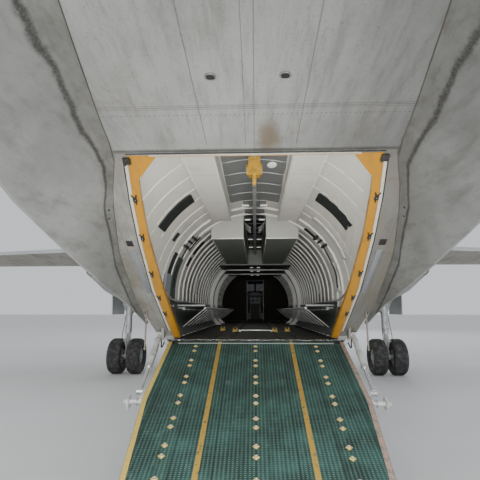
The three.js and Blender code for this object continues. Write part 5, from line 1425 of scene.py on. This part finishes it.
class PLANE_OT_ramp(bpy.types.Operator):
    """Builds the ramp's edge strips, tie-downs, arms, hoses and underside ribs"""

    bl_idname = "plane.ramp"
    bl_label = "Ramp details"

    def execute(self, context):
        bm = bmesh.new()
        for sign in LEFT_AND_RIGHT:
            for run in ((0.02, RAMP_TAPER_FROM), (RAMP_TAPER_FROM, RAMP_LENGTH - 0.03)):
                sections = []
                for along in run:
                    outer, inner = deck_half(along) - 0.004, deck_half(along) - 0.05
                    corners = [(inner, 0.001), (inner, 0.005), (outer, 0.005), (outer, 0.001)]
                    sections.append([ramp_point(sign * x, along, DECK_TOP + up) for x, up in corners])
                add_bar(bm, sections, 0 if sign < 0 else 1)
        close_holes(bm)
        piece("ramp_edge_strips", bm, [fitting_yellow(), worn_edge()], "ramp")

        bm = bmesh.new()
        diagonal = Matrix.Rotation(math.pi / 4, 4, "Z")
        for row in range(context.scene.plane_ramp.tie_downs):
            for near in (0.15 + row * 0.378, 0.28 + row * 0.378):
                if near > RAMP_LENGTH - 0.12:
                    continue
                for x in (-0.8, 0.0, 0.8):
                    spot = RAMP_TURN @ Matrix.Translation((x, -near, DECK_TOP + 0.001)) @ diagonal
                    add_block(bm, (-0.023, -0.023, 0), (0.023, 0.023, 0.006), 0.002, spot)
                    add_ring(bm, ramp_point(x, near, DECK_TOP + 0.011), 0.014, 0.003, 12,
                             (0, -math.sin(RAMP_SLOPE), math.cos(RAMP_SLOPE)), 1)
        piece("ramp_tie_downs", bm, [fitting_yellow(), steel()], "ramp")

        bm = bmesh.new()
        for x in (-0.708, -0.354, 0.0, 0.354, 0.708):
            sections = []
            for along, deep in ((0.12, -0.052), (0.9, -0.085), (2.7, -0.055), (3.0, -0.015)):
                corners = [(x - 0.02, -0.020), (x - 0.02, deep), (x + 0.02, deep), (x + 0.02, -0.020)]
                sections.append([ramp_point(u, along, v) for u, v in corners])
            add_bar(bm, sections)
        for along in (0.45, 0.95, 1.45, 1.95, 2.45):
            half = deck_half(along) - 0.05
            add_tube(bm, ramp_point(-half, along, -0.05), ramp_point(half, along, -0.05), 0.022, 10)
        close_holes(bm)
        piece("ramp_stiffeners", bm, skin_paint(), "ramp")

        for name, sign in SIDES:
            bm = bmesh.new()
            out = ramp_point(sign * 1.375, 1.33, 0.0)
            add_tube(bm, ramp_point(sign * 1.16, 1.33, 0.0), out, 0.028, 20)
            add_ball(bm, out, 0.030, segments=16)
            for reach in (1.16, 1.25, 1.34):
                add_ring(bm, ramp_point(sign * reach, 1.33, 0.0), 0.034, 0.006, 20, (1, 0, 0), 1)
            add_tube(bm, ramp_point(sign * 1.16, 1.15, 0.0), ramp_point(sign * 1.233, 1.15, 0.0), 0.042, 24,
                     0.030)
            add_block(bm, (-0.03, -0.11, -0.045), (0.012, 0.11, 0.045), 0.008,
                      RAMP_TURN @ Matrix.Translation((sign * 1.2, -1.24, 0.0)))
            add_block(bm, (-0.015, -0.06, -0.06), (0.015, 0.06, 0.06), 0.006,
                      RAMP_TURN @ Matrix.Translation((sign * 1.345, -1.33, 0.0)))
            piece(f"ramp_arm_{name}", bm, [leg_paint(), steel()], "ramp")

            bm = bmesh.new()
            # The cylinder's upper pin, the way it points at rest and the way square to it
            pivot = Vector((sign * 1.27, -5.25, 1.572))
            along, side = Vector((0, -0.8218, -0.5697)), Vector((0, 0.5697, -0.8218))
            for reach, radius in ((0.10, 0.040), (0.34, 0.039), (0.575, 0.043), (0.60, 0.038)):
                add_tube(bm, pivot + along * reach, pivot + along * (reach + 0.022), radius, 24)
            for reach in (0.13, 0.56):
                add_tube(bm, pivot + along * reach, pivot + along * reach + side * 0.055, 0.010, 12)
            for offset in (0.0, 0.016):
                start = pivot + Vector((offset, 0, 0))
                points = [start + along * reach + side * stand
                          for reach, stand in ((0.56, 0.052), (0.35, 0.062), (0.13, 0.052))]
                add_pipe(bm, points, 0.0055, 8, 1)
            piece(f"ramp_barrel_fittings_{name}", bm, [steel(), rubber()], f"ramp_barrel_{name}")

            bm = bmesh.new()
            top, foot = hatch_point(sign * 1.335, 0.70, 0.01), Vector((sign * 1.34, -5.70, 1.43))
            add_tube(bm, top, foot, 0.010, 10)
            for spot in (top + Vector((0, 0, -0.03)), foot):
                add_ball(bm, spot, 0.018, segments=10)
            add_pipe(bm, [Vector((sign * 1.24, -5.09, 1.46)), Vector((sign * 1.262, -5.14, 1.40)),
                          Vector((sign * 1.255, -5.2, 1.47)), Vector((sign * 1.25, -5.27, 1.53))],
                     0.009, 8, 1)
            piece(f"ramp_stay_{name}", bm, [engine_metal(), rubber()])
        return {"FINISHED"}


@once
def worn_edge():
    """Pinkish tan edge of the ramp, worn to primer."""
    finish = Finish("worn_edge", metallic=0.1)
    rub = finish.step(finish.noise(16.0, 6.0, 0.75), 0.45, 0.62)
    finish.colour(finish.mix(rub, shade((0.36, 0.24, 0.19)), shade((0.16, 0.17, 0.15))))
    finish.feed("Roughness", 0.5 + rub * 0.15)
    finish.bump(rub, 0.001, 0.6)
    return finish.material


# Distances aft of the sill of the latches on each side of the hatch
LATCHES = (0.64, 0.97, 1.40, 1.94, 2.39)


class PLANE_OT_hatch(bpy.types.Operator):
    """Builds the hatch frame's latches, seals and edge strips, the strakes' seams, the small covers beside
    the hatch with dark strips of painted shade next to them, and the tail's drains
    """

    bl_idname = "plane.hatch"
    bl_label = "Hatch details"

    def execute(self, context):
        bm = bmesh.new()
        tilt = Matrix.Rotation(-math.atan(HATCH_SLOPE), 4, "X")
        for sign in LEFT_AND_RIGHT:
            for aft in LATCHES:
                x = sign * (between(HATCH_ROWS, aft)[1] - 0.018)
                spot = Matrix.Translation(hatch_point(x, aft, -0.004)) @ tilt
                add_block(bm, (-0.017, -0.028, -0.008), (0.017, 0.028, 0.004), 0.004, spot)
                heart = hatch_point(x, aft, -0.005)
                for side in (-1, 1):
                    add_tube(bm, heart, hatch_point(x + side * 0.022, aft + 0.05, -0.005), 0.006, 8)
                add_tube(bm, heart, hatch_point(x, aft - 0.05, -0.004), 0.006, 8)
                add_ball(bm, hatch_point(x, aft, -0.010), 0.005, segments=8, index=1)
            corner = sign * (between(HATCH_ROWS, 2.76)[1] + 0.004)
            spot = Matrix.Translation(hatch_point(corner, 2.765, -0.008)) @ tilt
            add_block(bm, (-0.03, -0.032, -0.014), (0.03, 0.032, 0.006), 0.008, spot)
            add_tube(bm, hatch_point(corner - 0.02, 2.74, -0.02),
                     hatch_point(corner + 0.03, 2.79, -0.02), 0.009, 8)
        piece("hatch_latches", bm, [soot(), steel()])

        bm, seals, joints = bmesh.new(), bmesh.new(), bmesh.new()
        for sign in LEFT_AND_RIGHT:
            stations = [0.24 + step * 0.1265 for step in range(21)]
            corners = ((0.003, -0.001), (0.003, -0.003), (0.028, -0.004), (0.028, -0.001))
            halves = [between(HATCH_ROWS, aft)[1] for aft in stations]
            sections = []
            for half, aft in zip(halves, stations):
                sections.append([hatch_point(sign * (half + reach), aft, lift) for reach, lift in corners])
            add_bar(bm, sections)
            line = [hatch_point(sign * (half + 0.034), aft, 0.002) for half, aft in zip(halves, stations)]
            add_chain(seals, line, 0.006)
            creases = [1.0 + step * 0.25 for step in range(15)]
            add_chain(joints, [strake_point(aft, 0.01, sign, 0.002) for aft in creases], 0.0028)
        close_holes(bm)
        add_block(bm, (-0.80, SILL_Y - HATCH_RUN - 0.015, HATCH_TOP_Z - 0.006),
                  (0.80, SILL_Y - HATCH_RUN + 0.015, HATCH_TOP_Z + 0.001), 0.002)
        piece("hatch_edge_strips", bm, panel_paint(0.50, 0.47, 0.41))
        add_tube(seals, hatch_point(-0.97, 2.83, -0.003), hatch_point(0.97, 2.83, -0.003), 0.006, 6)
        piece("hatch_seals", seals, rubber())
        piece("strake_joints", joints, panel_paint(0.075, 0.062, 0.048))

        bm = bmesh.new()
        for sign in LEFT_AND_RIGHT:
            spot = Matrix.Translation(hatch_point(sign * 1.21, 1.87, -0.004)) @ tilt
            add_block(bm, (-0.032, -0.040, -0.006), (0.032, 0.040, 0.002), 0.003, spot, 1)
            # A long dark strip next to each small cover: painted shade standing in for a shadowed recess.
            spot = Matrix.Translation(hatch_point(sign * 1.21, 1.42, -0.002)) @ tilt
            add_block(bm, (-0.026, -0.40, -0.006), (0.026, 0.40, 0.002), 0.004, spot, 2)
            for share, aft in ((0.22, 2.35), (0.28, 2.27)):
                add_ball(bm, strake_point(aft, share, sign, 0.003), 0.010, (1, 1, 1), 8, 1)
        piece("hatch_covers_and_shade_strips", bm, [strake_paint(), soot(), panel_paint(0.17, 0.18, 0.20)])

        bm = bmesh.new()
        for x, aft in ((-0.235, 3.68), (0.17, 3.68), (0.02, 4.6)):
            spot = Matrix.Translation(hatch_point(x, aft, -0.002))
            add_block(bm, (-0.022, -0.028, -0.003), (0.022, 0.028, 0.002), 0.004, spot, 1)
            add_ring(bm, hatch_point(x, aft, -0.004), 0.030, 0.0035, 16)
        for step in range(56):
            add_ball(bm, hatch_point(-0.5 + step * 0.018, 3.3, -0.0005), 0.0028, segments=6)
        piece("tail_drains", bm, [strake_paint(), soot()])
        return {"FINISHED"}


def tyre_profile(radius, width, rim, grooves, depth):
    """(radius, distance along the axle) round a tyre: bead, wall, shoulder and a grooved tread."""
    half = width / 2
    points = [(rim + 0.002, -half * 0.60), (rim + 0.022, -half * 0.80), (rim + 0.06, -half * 0.93),
              (radius * 0.74, -half * 0.995), (radius * 0.82, -half), (radius * 0.90, -half * 0.94),
              (radius * 0.955, -half * 0.80), (radius * 0.985, -half * 0.62)]
    tread = half * 0.52
    step = 2 * tread / grooves
    for groove in range(grooves):
        middle = -tread + step * (groove + 0.5)
        crown = radius * (1 - 0.006 * (middle / tread) ** 2)
        points += [(crown, middle - step * 0.34), (crown, middle - 0.012), (crown - depth, middle - 0.006),
                   (crown - depth, middle + 0.006), (crown, middle + 0.012), (crown, middle + step * 0.34)]
    mirrored = [(r, -along) for r, along in reversed(points[:8])]
    return points + mirrored + [points[0]]


class PLANE_OT_wheels(bpy.types.Operator):
    """Builds the treaded tyres, hub bolts and brakes, and the lines on the landing gear"""

    bl_idname = "plane.wheels"
    bl_label = "Wheels and gear"

    def execute(self, context):
        sizes = context.scene.plane_wheels
        sets = []
        for name, _ in SIDES:
            for place in ("inner", "outer"):
                sets.append((f"main_tyre_{name}_{place}", f"main_wheels_{name}", 0.235))
            sets.append((f"nose_tyre_{name}", "nose_wheels", 0.17))
        for node, body, rim in sets:
            low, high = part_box(node)
            centre = (low + high) / 2
            radius = (high.z - low.z) / 2
            bm = bmesh.new()
            profile = tyre_profile(radius, high.x - low.x, rim, sizes.grooves, sizes.groove_depth)
            add_turned(bm, profile, centre, (1, 0, 0), sizes.segments)
            tyre = piece(node.replace("tyre", "treaded_tyre"), bm, tyre_rubber(), body, 40)
            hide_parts(node)

            bm = bmesh.new()
            outward = 1 if centre.x > 0 else -1
            if "inner" in node:
                outward = -outward
            half = (high.x - low.x) / 2
            face = Vector((centre.x + outward * (half * 0.6 - 0.056), centre.y, centre.z))
            for step in range(12):
                angle = 2 * math.pi * step / 12
                spoke = Vector((0, math.cos(angle), math.sin(angle)))
                bolt, hole = face + spoke * rim * 0.68, face + spoke * rim * 0.9
                add_tube(bm, bolt, bolt + Vector((outward * 0.018, 0, 0)), rim * 0.05, 6, index=1)
                add_tube(bm, hole, hole + Vector((outward * 0.006, 0, 0)), rim * 0.035, 8, index=1)
            ring = [(rim * 0.86, 0.0), (rim * 0.90, 0.03), (rim * 0.99, 0.054), (rim * 1.04, 0.066),
                    (rim * 1.06, 0.060), (rim * 1.0, 0.040), (rim * 0.94, 0.0), (rim * 0.86, 0.0)]
            add_turned(bm, ring, face, (outward, 0, 0), 64)
            cap = [(0.0, 0.075), (rim * 0.20, 0.072), (rim * 0.30, 0.060), (rim * 0.36, 0.030),
                   (rim * 0.37, 0.0)]
            add_turned(bm, cap, face, (outward, 0, 0), 40)
            piece(node.replace("tyre", "rim"), bm, [hub_paint(), steel()], body)

        for name, sign in SIDES:
            x, y = sign * NACELLE_X, MAIN_LEG_Y
            bm = bmesh.new()
            for z, radius in ((1.20, 0.100), (1.34, 0.097), (1.75, 0.097), (2.3, 0.097)):
                add_tube(bm, (x, y, z), (x, y, z + 0.03), radius, 28)
            add_tube(bm, (x, y, 0.64), (x, y, 0.70), 0.085, 28)
            for side in (-1, 1):
                line = ((0.075, 0, 1.9), (0.12, 0.06, 1.4), (0.13, 0.16, 1.05), (0.085, 0.05, 0.72))
                add_pipe(bm, [Vector((x + side * out, y - back, z)) for out, back, z in line], 0.010, 8, 1)
                add_tube(bm, (x + side * 0.05, y - 0.26, 1.0), (x + side * 0.035, y - 0.26, 1.0), 0.03, 16)
            piece(f"main_leg_fittings_{name}", bm, [leg_paint(), rubber()])
        bm = bmesh.new()
        for z, radius in ((0.84, 0.098), (1.04, 0.098), (1.2, 0.098)):
            add_tube(bm, (0, NOSE_LEG_Y, z), (0, NOSE_LEG_Y, z + 0.03), radius, 28)
        for x in (-0.07, 0.07):
            lamp_y = NOSE_LEG_Y + 0.16
            add_tube(bm, (x, lamp_y - 0.07, 1.0), (x, lamp_y, 1.0), 0.062, 24, index=1)
            add_tube(bm, (x, lamp_y - 0.005, 1.0), (x, lamp_y + 0.005, 1.0), 0.052, 24, index=2)
        add_pipe(bm, [Vector((0.08, 9.52, 1.2)), Vector((0.12, 9.48, 1.0)), Vector((0.1, 9.5, 0.82))],
                 0.009, 8, 3)
        piece("nose_leg_fittings", bm, [leg_paint(), steel(), lamp_glass(), rubber()])
        return {"FINISHED"}


class PLANE_OT_power(bpy.types.Operator):
    """Builds the cowl lips, scoops, exhaust rims, spinner rings and blade cuffs"""

    bl_idname = "plane.power"
    bl_label = "Engines and propellers"

    def execute(self, context):
        for name, sign in SIDES:
            x = sign * NACELLE_X
            bm = bmesh.new()
            ring = [(0.150, 0.0), (0.158, 0.025), (0.152, 0.03), (0.140, 0.0), (0.138, -0.21), (0.150, -0.21),
                    (0.150, 0.0)]
            add_turned(bm, ring, (x, -1.06, 2.865), (0, -1, 0), 40)
            piece(f"exhaust_rim_{name}", bm, soot())

            bm = bmesh.new()
            lip = ((0.20, 0.0), (0.225, 0.05), (0.235, 0.16), (0.215, 0.16), (0.20, 0.06), (0.185, 0.0),
                   (0.20, 0.0))
            add_turned(bm, lip, (x, 6.06, 2.86), (0, 1, 0), 40)
            bmesh.ops.scale(bm, vec=(1.1, 1, 0.42), space=Matrix.Translation((-x, 0, -2.86)), verts=bm.verts)
            for step in range(9):
                z = 3.5 - step * 0.035
                add_block(bm, (x + sign * 0.535, 3.9, z), (x + sign * 0.575, 4.5, z + 0.012), 0.003, index=1)
            for y in (5.55, 4.7, 3.8):
                for clip_x in (x - 0.535, x + 0.535):
                    add_block(bm, (clip_x - 0.02, y - 0.03, 3.05), (clip_x + 0.02, y + 0.03, 3.15), 0.006,
                              index=1)
            piece(f"cowl_fittings_{name}", bm, [skin_paint(), soot()])

            bm = bmesh.new()
            add_turned(bm, [(0.318, -0.155), (0.322, -0.15), (0.322, -0.02), (0.3175, 0.0), (0.310, 0.0),
                            (0.310, -0.155), (0.318, -0.155)], (x, PROP_Y, SHAFT_Z), (0, 1, 0), 64)
            centre = Vector((x, PROP_Y, SHAFT_Z))
            for blade in range(4):
                angle = math.pi / 4 + blade * math.pi / 2
                out = Vector((math.cos(angle), 0, math.sin(angle)))
                add_tube(bm, centre + out * 0.25, centre + out * 0.40, 0.098, 24, 0.080)
                add_ring(bm, centre + out * 0.405, 0.078, 0.007, 24, out, 1)
            piece(f"spinner_rings_{name}", bm, [blade_paint(), steel()], f"propeller_{name}")
        return {"FINISHED"}


def add_porthole(bm, y, z, sign, radius=0.13):
    """A round window on the fuselage side: a raised ring and dark glass in it."""
    x, near = wall_x(y, z), wall_x(y, z + 0.05)
    tilt = math.atan2(x - near, 0.05)
    out = Vector((math.cos(tilt), 0, math.sin(tilt)))
    out.x *= sign
    centre = Vector((sign * x, y, z))
    ring = [(radius, 0.004), (radius + 0.008, 0.010), (radius + 0.028, 0.006), (radius + 0.034, -0.004),
            (radius, -0.004), (radius, 0.004)]
    add_turned(bm, ring, centre, out, 40)
    add_turned(bm, [(0.0, 0.004), (radius * 0.6, 0.0035), (radius + 0.002, 0.0025), (radius + 0.002, -0.006),
                    (0.0, -0.006)], centre, out, 40, 1)


class PLANE_OT_outside(bpy.types.Operator):
    """Builds the round windows, side doors, aerials, lights, wicks, wipers and probes"""

    bl_idname = "plane.outside"
    bl_label = "Outside details"

    def execute(self, context):
        bm = bmesh.new()
        for sign in LEFT_AND_RIGHT:
            for y in (5.3, 4.1, -0.6, -1.9, -3.2):
                add_porthole(bm, y, 2.52, sign)
        piece("round_windows", bm, [strake_paint(), window_glass()])

        bm = bmesh.new()
        rear, front, low, high = -4.75, -3.85, 1.60, 3.0
        for sign in LEFT_AND_RIGHT:
            outline = []
            for step in range(13):
                z = low + (high - low) * step / 12
                outline.append(Vector((sign * (wall_x(0, z) + 0.001), 0, z)))
            for y in (rear, front):
                add_chain(bm, [point + Vector((0, y, 0)) for point in outline], 0.006)
            for point in (outline[0], outline[-1]):
                add_tube(bm, point + Vector((0, rear, 0)), point + Vector((0, front, 0)), 0.006, 6)
            x = sign * wall_x(0, 2.1)
            add_block(bm, (x - 0.012, front - 0.2, 2.08), (x + 0.012, front - 0.06, 2.12), 0.004, index=1)
        piece("side_door_seals", bm, [rubber(), steel()])

        bm = bmesh.new()
        for y, tall in ((5.0, 0.28), (-1.2, 0.3), (-3.9, 0.2)):
            sections = []
            for share, chord in ((0, 0.24), (0.5, 0.2), (1, 0.12)):
                outline = [(0.0, chord / 2), (0.014, chord * 0.1), (0.0, -chord / 2), (-0.014, chord * 0.1)]
                sections.append([Vector((x, y - share * 0.12 + v, 3.60 + tall * share)) for x, v in outline])
            add_bar(bm, sections)
        for y, tall in ((4.2, 0.16), (2.6, 0.12), (-2.4, 0.16)):
            sections = []
            for share, chord in ((0, 0.2), (1, 0.1)):
                outline = [(0.0, chord / 2), (0.012, 0.0), (0.0, -chord / 2), (-0.012, 0.0)]
                sections.append([Vector((x, y - share * 0.08 + v, 1.125 - tall * share)) for x, v in outline])
            add_bar(bm, sections)
        close_holes(bm)
        piece("blade_aerials", bm, skin_paint())

        bm = bmesh.new()
        add_ball(bm, (0, -0.6, 3.63), 0.07, (1, 1.2, 0.9), 20)
        add_ball(bm, (0, 1.2, 1.115), 0.07, (1, 1.2, 0.8), 20)
        piece("beacons", bm, lens_colour(0.55, 0.03, 0.02))
        for name, sign in SIDES:
            bm = bmesh.new()
            add_ball(bm, (sign * 14.56, 1.86, 3.345), 0.04, (0.7, 1.6, 0.8), 16)
            hue = (0.5, 0.02, 0.02) if sign < 0 else (0.02, 0.4, 0.1)
            piece(f"tip_light_{name}", bm, lens_colour(*hue))

        for name, sign in SIDES:
            bm = bmesh.new()
            for x in (10.0, 11.4, 12.8, 14.2):
                y, z = wing_trailing(x)
                add_tube(bm, (sign * x, y + 0.01, z), (sign * x, y - 0.13, z - 0.006), 0.004, 6, 0.0015)
            piece(f"aileron_wicks_{name}", bm, rubber(), f"aileron_{name}")
        bm = bmesh.new()
        for sign in LEFT_AND_RIGHT:
            base = Vector((sign * 0.62, 10.92, 1.98))
            elbow = base + Vector((sign * 0.10, 0.05, -0.02))
            add_tube(bm, base, elbow, 0.014, 12)
            add_tube(bm, elbow, elbow + Vector((0, 0.26, 0)), 0.012, 12, 0.008)
        piece("air_probes", bm, steel())

        bm = bmesh.new()
        for sign in LEFT_AND_RIGHT:
            points = [Vector((sign * 0.10, 10.52, 2.885)), Vector((sign * 0.22, 10.36, 3.0)),
                      Vector((sign * 0.36, 10.2, 3.12))]
            add_pipe(bm, points, 0.008, 8)
            add_tube(bm, points[1] + Vector((-sign * 0.05, 0.05, -0.05)),
                     points[2] + Vector((sign * 0.04, 0, 0.03)), 0.007, 8)
            add_ball(bm, points[0], 0.02, segments=10)
        piece("wipers", bm, rubber())
        return {"FINISHED"}


def wing_trailing(x):
    """(y, z) of the wing's trailing edge at a distance from the centre line."""
    _, lead, z, chord = between(WING_ROWS, x)
    return lead - chord * math.cos(WING_PITCH), z - chord * math.sin(WING_PITCH)


# Each cushion's half width, its rear, front, low and high sides from the seat's place, and its crown
CUSHIONS = (("pad", 0.225, -0.24, 0.22, 0.35, 0.45, 0.012),
            ("back", 0.215, -0.355, -0.24, 0.46, 1.05, 0.012),
            ("head", 0.125, -0.345, -0.245, 1.09, 1.28, 0.008))


def cushion(name, low, high, crown):
    """A padded block between two corners: remeshed, blown up by cloth up to the crown, and smoothed."""
    low, high = Vector(low), Vector(high)
    size = high - low
    bm = bmesh.new()
    bmesh.ops.create_cube(bm, size=1.0)
    bmesh.ops.scale(bm, vec=size * 0.94, verts=bm.verts)
    bmesh.ops.bevel(bm, geom=bm.edges[:], offset=min(size) * 0.28, affect="EDGES", segments=3, profile=0.5,
                    material=-1)
    bmesh.ops.subdivide_edges(bm, edges=bm.edges[:], cuts=2, use_grid_fill=True)
    bmesh.ops.translate(bm, vec=(low + high) / 2, verts=bm.verts)
    made = piece(name, bm, seat_fabric(), angle=80)
    voxels = made.modifiers.new("voxels", "REMESH")
    voxels.mode = "VOXEL"
    voxels.voxel_size = 0.012
    settle(made)
    flat = [vert.co.copy() for vert in made.data.vertices]
    cloth = made.modifiers.new("stuffing", "CLOTH")
    cloth.settings.use_pressure = True
    cloth.settings.uniform_pressure_force = 4.0
    cloth.settings.effector_weights.gravity = 0.0
    scene = bpy.context.scene
    for step in range(1, 15):
        scene.frame_set(step)
    graph = bpy.context.evaluated_depsgraph_get()
    swollen = [vert.co.copy() for vert in made.evaluated_get(graph).data.vertices]
    made.modifiers.remove(cloth)
    scene.frame_set(1)
    for vert, old, new in zip(made.data.vertices, flat, swollen):
        move = new - old
        vert.co = old + move * min(1.0, crown / max(move.length, 1e-6))
    smooth = made.modifiers.new("smooth", "SUBSURF")
    smooth.levels = smooth.render_levels = 1
    made.data.polygons.foreach_set("use_smooth", [True] * len(made.data.polygons))


def settle(made):
    """Applies a piece's modifiers to its mesh."""
    graph = bpy.context.evaluated_depsgraph_get()
    mesh = bpy.data.meshes.new_from_object(made.evaluated_get(graph))
    old = made.data
    made.modifiers.clear()
    made.data = mesh
    bpy.data.meshes.remove(old)


class PLANE_OT_cockpit(bpy.types.Operator):
    """Builds the pilots' padded seats, the instruments, the controls and the equipment racks"""

    bl_idname = "plane.cockpit"
    bl_label = "Cockpit"

    def execute(self, context):
        for name, sign in SIDES:
            x, y, z = sign * 0.48, 9.45, FLOOR_Z
            for part, half, rear, front, low, high, crown in CUSHIONS:
                cushion(f"seat_{part}_{name}", (x - half, y + rear, z + low),
                        (x + half, y + front, z + high), crown)
            bm = bmesh.new()
            add_block(bm, (x - 0.09, y - 0.23, z + 0.001), (x + 0.09, y + 0.18, z + 0.33), 0.02)
            add_block(bm, (x - 0.225, y - 0.24, z + 0.32), (x + 0.225, y + 0.2, z + 0.352), 0.012)
            add_block(bm, (x - 0.21, y - 0.358, z + 0.4), (x + 0.21, y - 0.345, z + 1.08), 0.006)
            add_tube(bm, (x, y - 0.35, z + 1.0), (x, y - 0.345, z + 1.2), 0.02, 12)
            for side in (-1, 1):
                arm_x = x + side * 0.223
                add_block(bm, (arm_x - 0.015, y - 0.2, z + 0.60), (arm_x + 0.015, y + 0.1, z + 0.63), 0.008)
                add_tube(bm, (x + side * 0.21, y - 0.28, z + 0.45), (x + side * 0.215, y - 0.2, z + 0.61),
                         0.010, 8)
            frame_piece = piece(f"seat_frame_{name}", bm, instrument_black())
            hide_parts(f"pilot_seat_{name}")

        bm = bmesh.new()
        back_y = 10.098
        for step in range(7):
            x = -0.66 + step * 0.22
            for z in (2.28, 2.50):
                add_tube(bm, (x, back_y, z), (x, back_y - 0.012, z), 0.075, 28, index=1)
                add_ring(bm, (x, back_y - 0.012, z), 0.074, 0.007, 28, (0, 1, 0))
                add_tube(bm, (x, back_y - 0.0125, z), (x, back_y - 0.014, z), 0.062, 28, index=2)
        for sign in LEFT_AND_RIGHT:
            x = sign * 0.48
            add_tube(bm, (x, 10.10, 2.22), (x, 9.80, 2.26), 0.018, 14)
            horns = ((-0.17, 9.80, 2.36), (-0.15, 9.79, 2.27), (0, 9.79, 2.25), (0.15, 9.79, 2.27),
                     (0.17, 9.80, 2.36))
            add_pipe(bm, [Vector((x + off, y, z)) for off, y, z in horns], 0.014, 8)
        for step in range(6):
            x = -0.125 + step * 0.05
            add_tube(bm, (x, 9.75, 2.21), (x, 9.72, 2.33), 0.008, 8)
            add_ball(bm, (x, 9.72, 2.335), 0.016, segments=10)
        piece("instruments", bm, [steel(), instrument_black(), cockpit_teal()])

        bm = bmesh.new()
        for sign in LEFT_AND_RIGHT:
            for row in range(5):
                z = 1.56 + row * 0.24
                add_block(bm, (sign * 0.46, 6.385, z), (sign * 0.90, 6.394, z + 0.21), 0.003)
                add_block(bm, (sign * 0.46, 6.861, z), (sign * 0.90, 6.872, z + 0.21), 0.003)
                for side in (0.52, 0.84):
                    add_tube(bm, (sign * side, 6.872, z + 0.1), (sign * side, 6.89, z + 0.1), 0.014, 10,
                             index=1)
        piece("rack_faces", bm, [cockpit_teal(), steel()])
        return {"FINISHED"}


class PLANE_OT_stage(bpy.types.Operator):
    """Sets the pale floor, the soft lights and the camera at the photo's viewing angle"""

    bl_idname = "plane.stage"
    bl_label = "Stage and camera"

    def execute(self, context):
        scene = context.scene
        sizes = scene.plane_stage
        world = bpy.data.worlds.new("studio")
        scene.world = world
        world.use_nodes = True
        back = world.node_tree.nodes["Background"]
        back.inputs["Color"].default_value = (0.86, 0.90, 0.95, 1)
        back.inputs["Strength"].default_value = 0.85
        finish = Finish("studio_floor")
        cloud = finish.noise(0.6, 4.0, 0.5)
        finish.colour(finish.mix(cloud, shade((0.60, 0.60, 0.59)), shade((0.68, 0.68, 0.67))))
        finish.feed("Roughness", 0.7)
        bm = bmesh.new()
        bmesh.ops.create_grid(bm, x_segments=2, y_segments=2, size=sizes.floor_size / 2)
        mesh = bpy.data.meshes.new("studio_floor")
        bm.to_mesh(mesh)
        bm.free()
        mesh.materials.append(finish.material)
        floor = bpy.data.objects.new("studio_floor", mesh)
        scene.collection.objects.link(floor)

        for name, place, target, size, power, hue in (
                ("key", (-10, -24, 16), (0, -4, 2), 12, sizes.key_power, (1.0, 0.98, 0.95)),
                ("fill", (14, -20, 12), (0, -4, 2), 14, sizes.key_power * 0.6, (0.93, 0.96, 1.0)),
                ("hatch", (0, -14.5, 1.2), (0, -3, 2.4), 5, sizes.key_power * 0.3, (1.0, 0.99, 0.97)),
                ("opening", (0, -8.3, 1.15), (0, -5.2, 3.1), 2, sizes.key_power * 0.02, (1.0, 0.99, 0.97)),
                ("nose", (6, 28, 14), (0, 4, 2), 14, sizes.key_power * 0.5, (0.96, 0.98, 1.0))):
            lamp = bpy.data.lights.new(name, "AREA")
            lamp.energy = power
            lamp.size = size
            lamp.color = hue
            holder = bpy.data.objects.new(name, lamp)
            holder.location = place
            holder.rotation_euler = (Vector(target) - Vector(place)).to_track_quat("-Z", "Y").to_euler()
            holder.visible_camera = False
            scene.collection.objects.link(holder)
        for y, z, power in ((-4.2, 3.2, 7), (-1.0, 3.1, 7), (1.2, 3.0, 10), (5.0, 3.2, 2)):
            lamp = bpy.data.lights.new("hold_light", "AREA")
            lamp.energy = power
            lamp.shape = "RECTANGLE"
            lamp.size = 1.2
            lamp.size_y = 2.4
            holder = bpy.data.objects.new("hold_light", lamp)
            holder.location = (0, y, z - 0.05)
            scene.collection.objects.link(holder)

        camera = bpy.data.cameras.new("camera")
        camera.lens = sizes.lens
        camera.sensor_width = 36
        camera.clip_end = 800
        holder = bpy.data.objects.new("camera", camera)
        holder.location = CAMERA_PLACE
        holder.rotation_euler = (math.radians(90) + CAMERA_RISE, 0, CAMERA_TURN)
        scene.collection.objects.link(holder)
        scene.camera = holder
        return {"FINISHED"}


OPERATORS = (PLANE_OT_stage, PLANE_OT_finishes, PLANE_OT_frames, PLANE_OT_lining, PLANE_OT_hold_fittings,
             PLANE_OT_benches, PLANE_OT_ramp, PLANE_OT_hatch, PLANE_OT_wheels, PLANE_OT_power,
             PLANE_OT_outside, PLANE_OT_cockpit)
GROUPS = (("plane_look", PlaneLook), ("plane_ramp", PlaneRamp), ("plane_wheels", PlaneWheels),
          ("plane_stage", PlaneStage))


class PLANE_PT_finish(bpy.types.Panel):
    """Lists the sizes and colours, and the steps that build the plane's finish"""

    bl_idname = "PLANE_PT_finish"
    bl_label = "Transport plane"
    bl_space_type = "VIEW_3D"
    bl_region_type = "UI"
    bl_category = "Plane"

    def draw(self, context):
        for name, group in GROUPS:
            box = self.layout.box()
            for prop in group.__annotations__:
                box.prop(getattr(context.scene, name), prop)
        for operator in OPERATORS:
            self.layout.operator(operator.bl_idname)


def register():
    for name, group in GROUPS:
        bpy.utils.register_class(group)
        setattr(bpy.types.Scene, name, PointerProperty(type=group))
    for made in (*OPERATORS, PLANE_PT_finish):
        bpy.utils.register_class(made)


def unregister():
    for made in (PLANE_PT_finish, *reversed(OPERATORS)):
        bpy.utils.unregister_class(made)
    for name, group in reversed(GROUPS):
        delattr(bpy.types.Scene, name)
        bpy.utils.unregister_class(group)


def main():
    register()
    for operator in OPERATORS:
        family, name = operator.bl_idname.split(".")
        getattr(getattr(bpy.ops, family), name)()


if __name__ == "__main__":
    main()
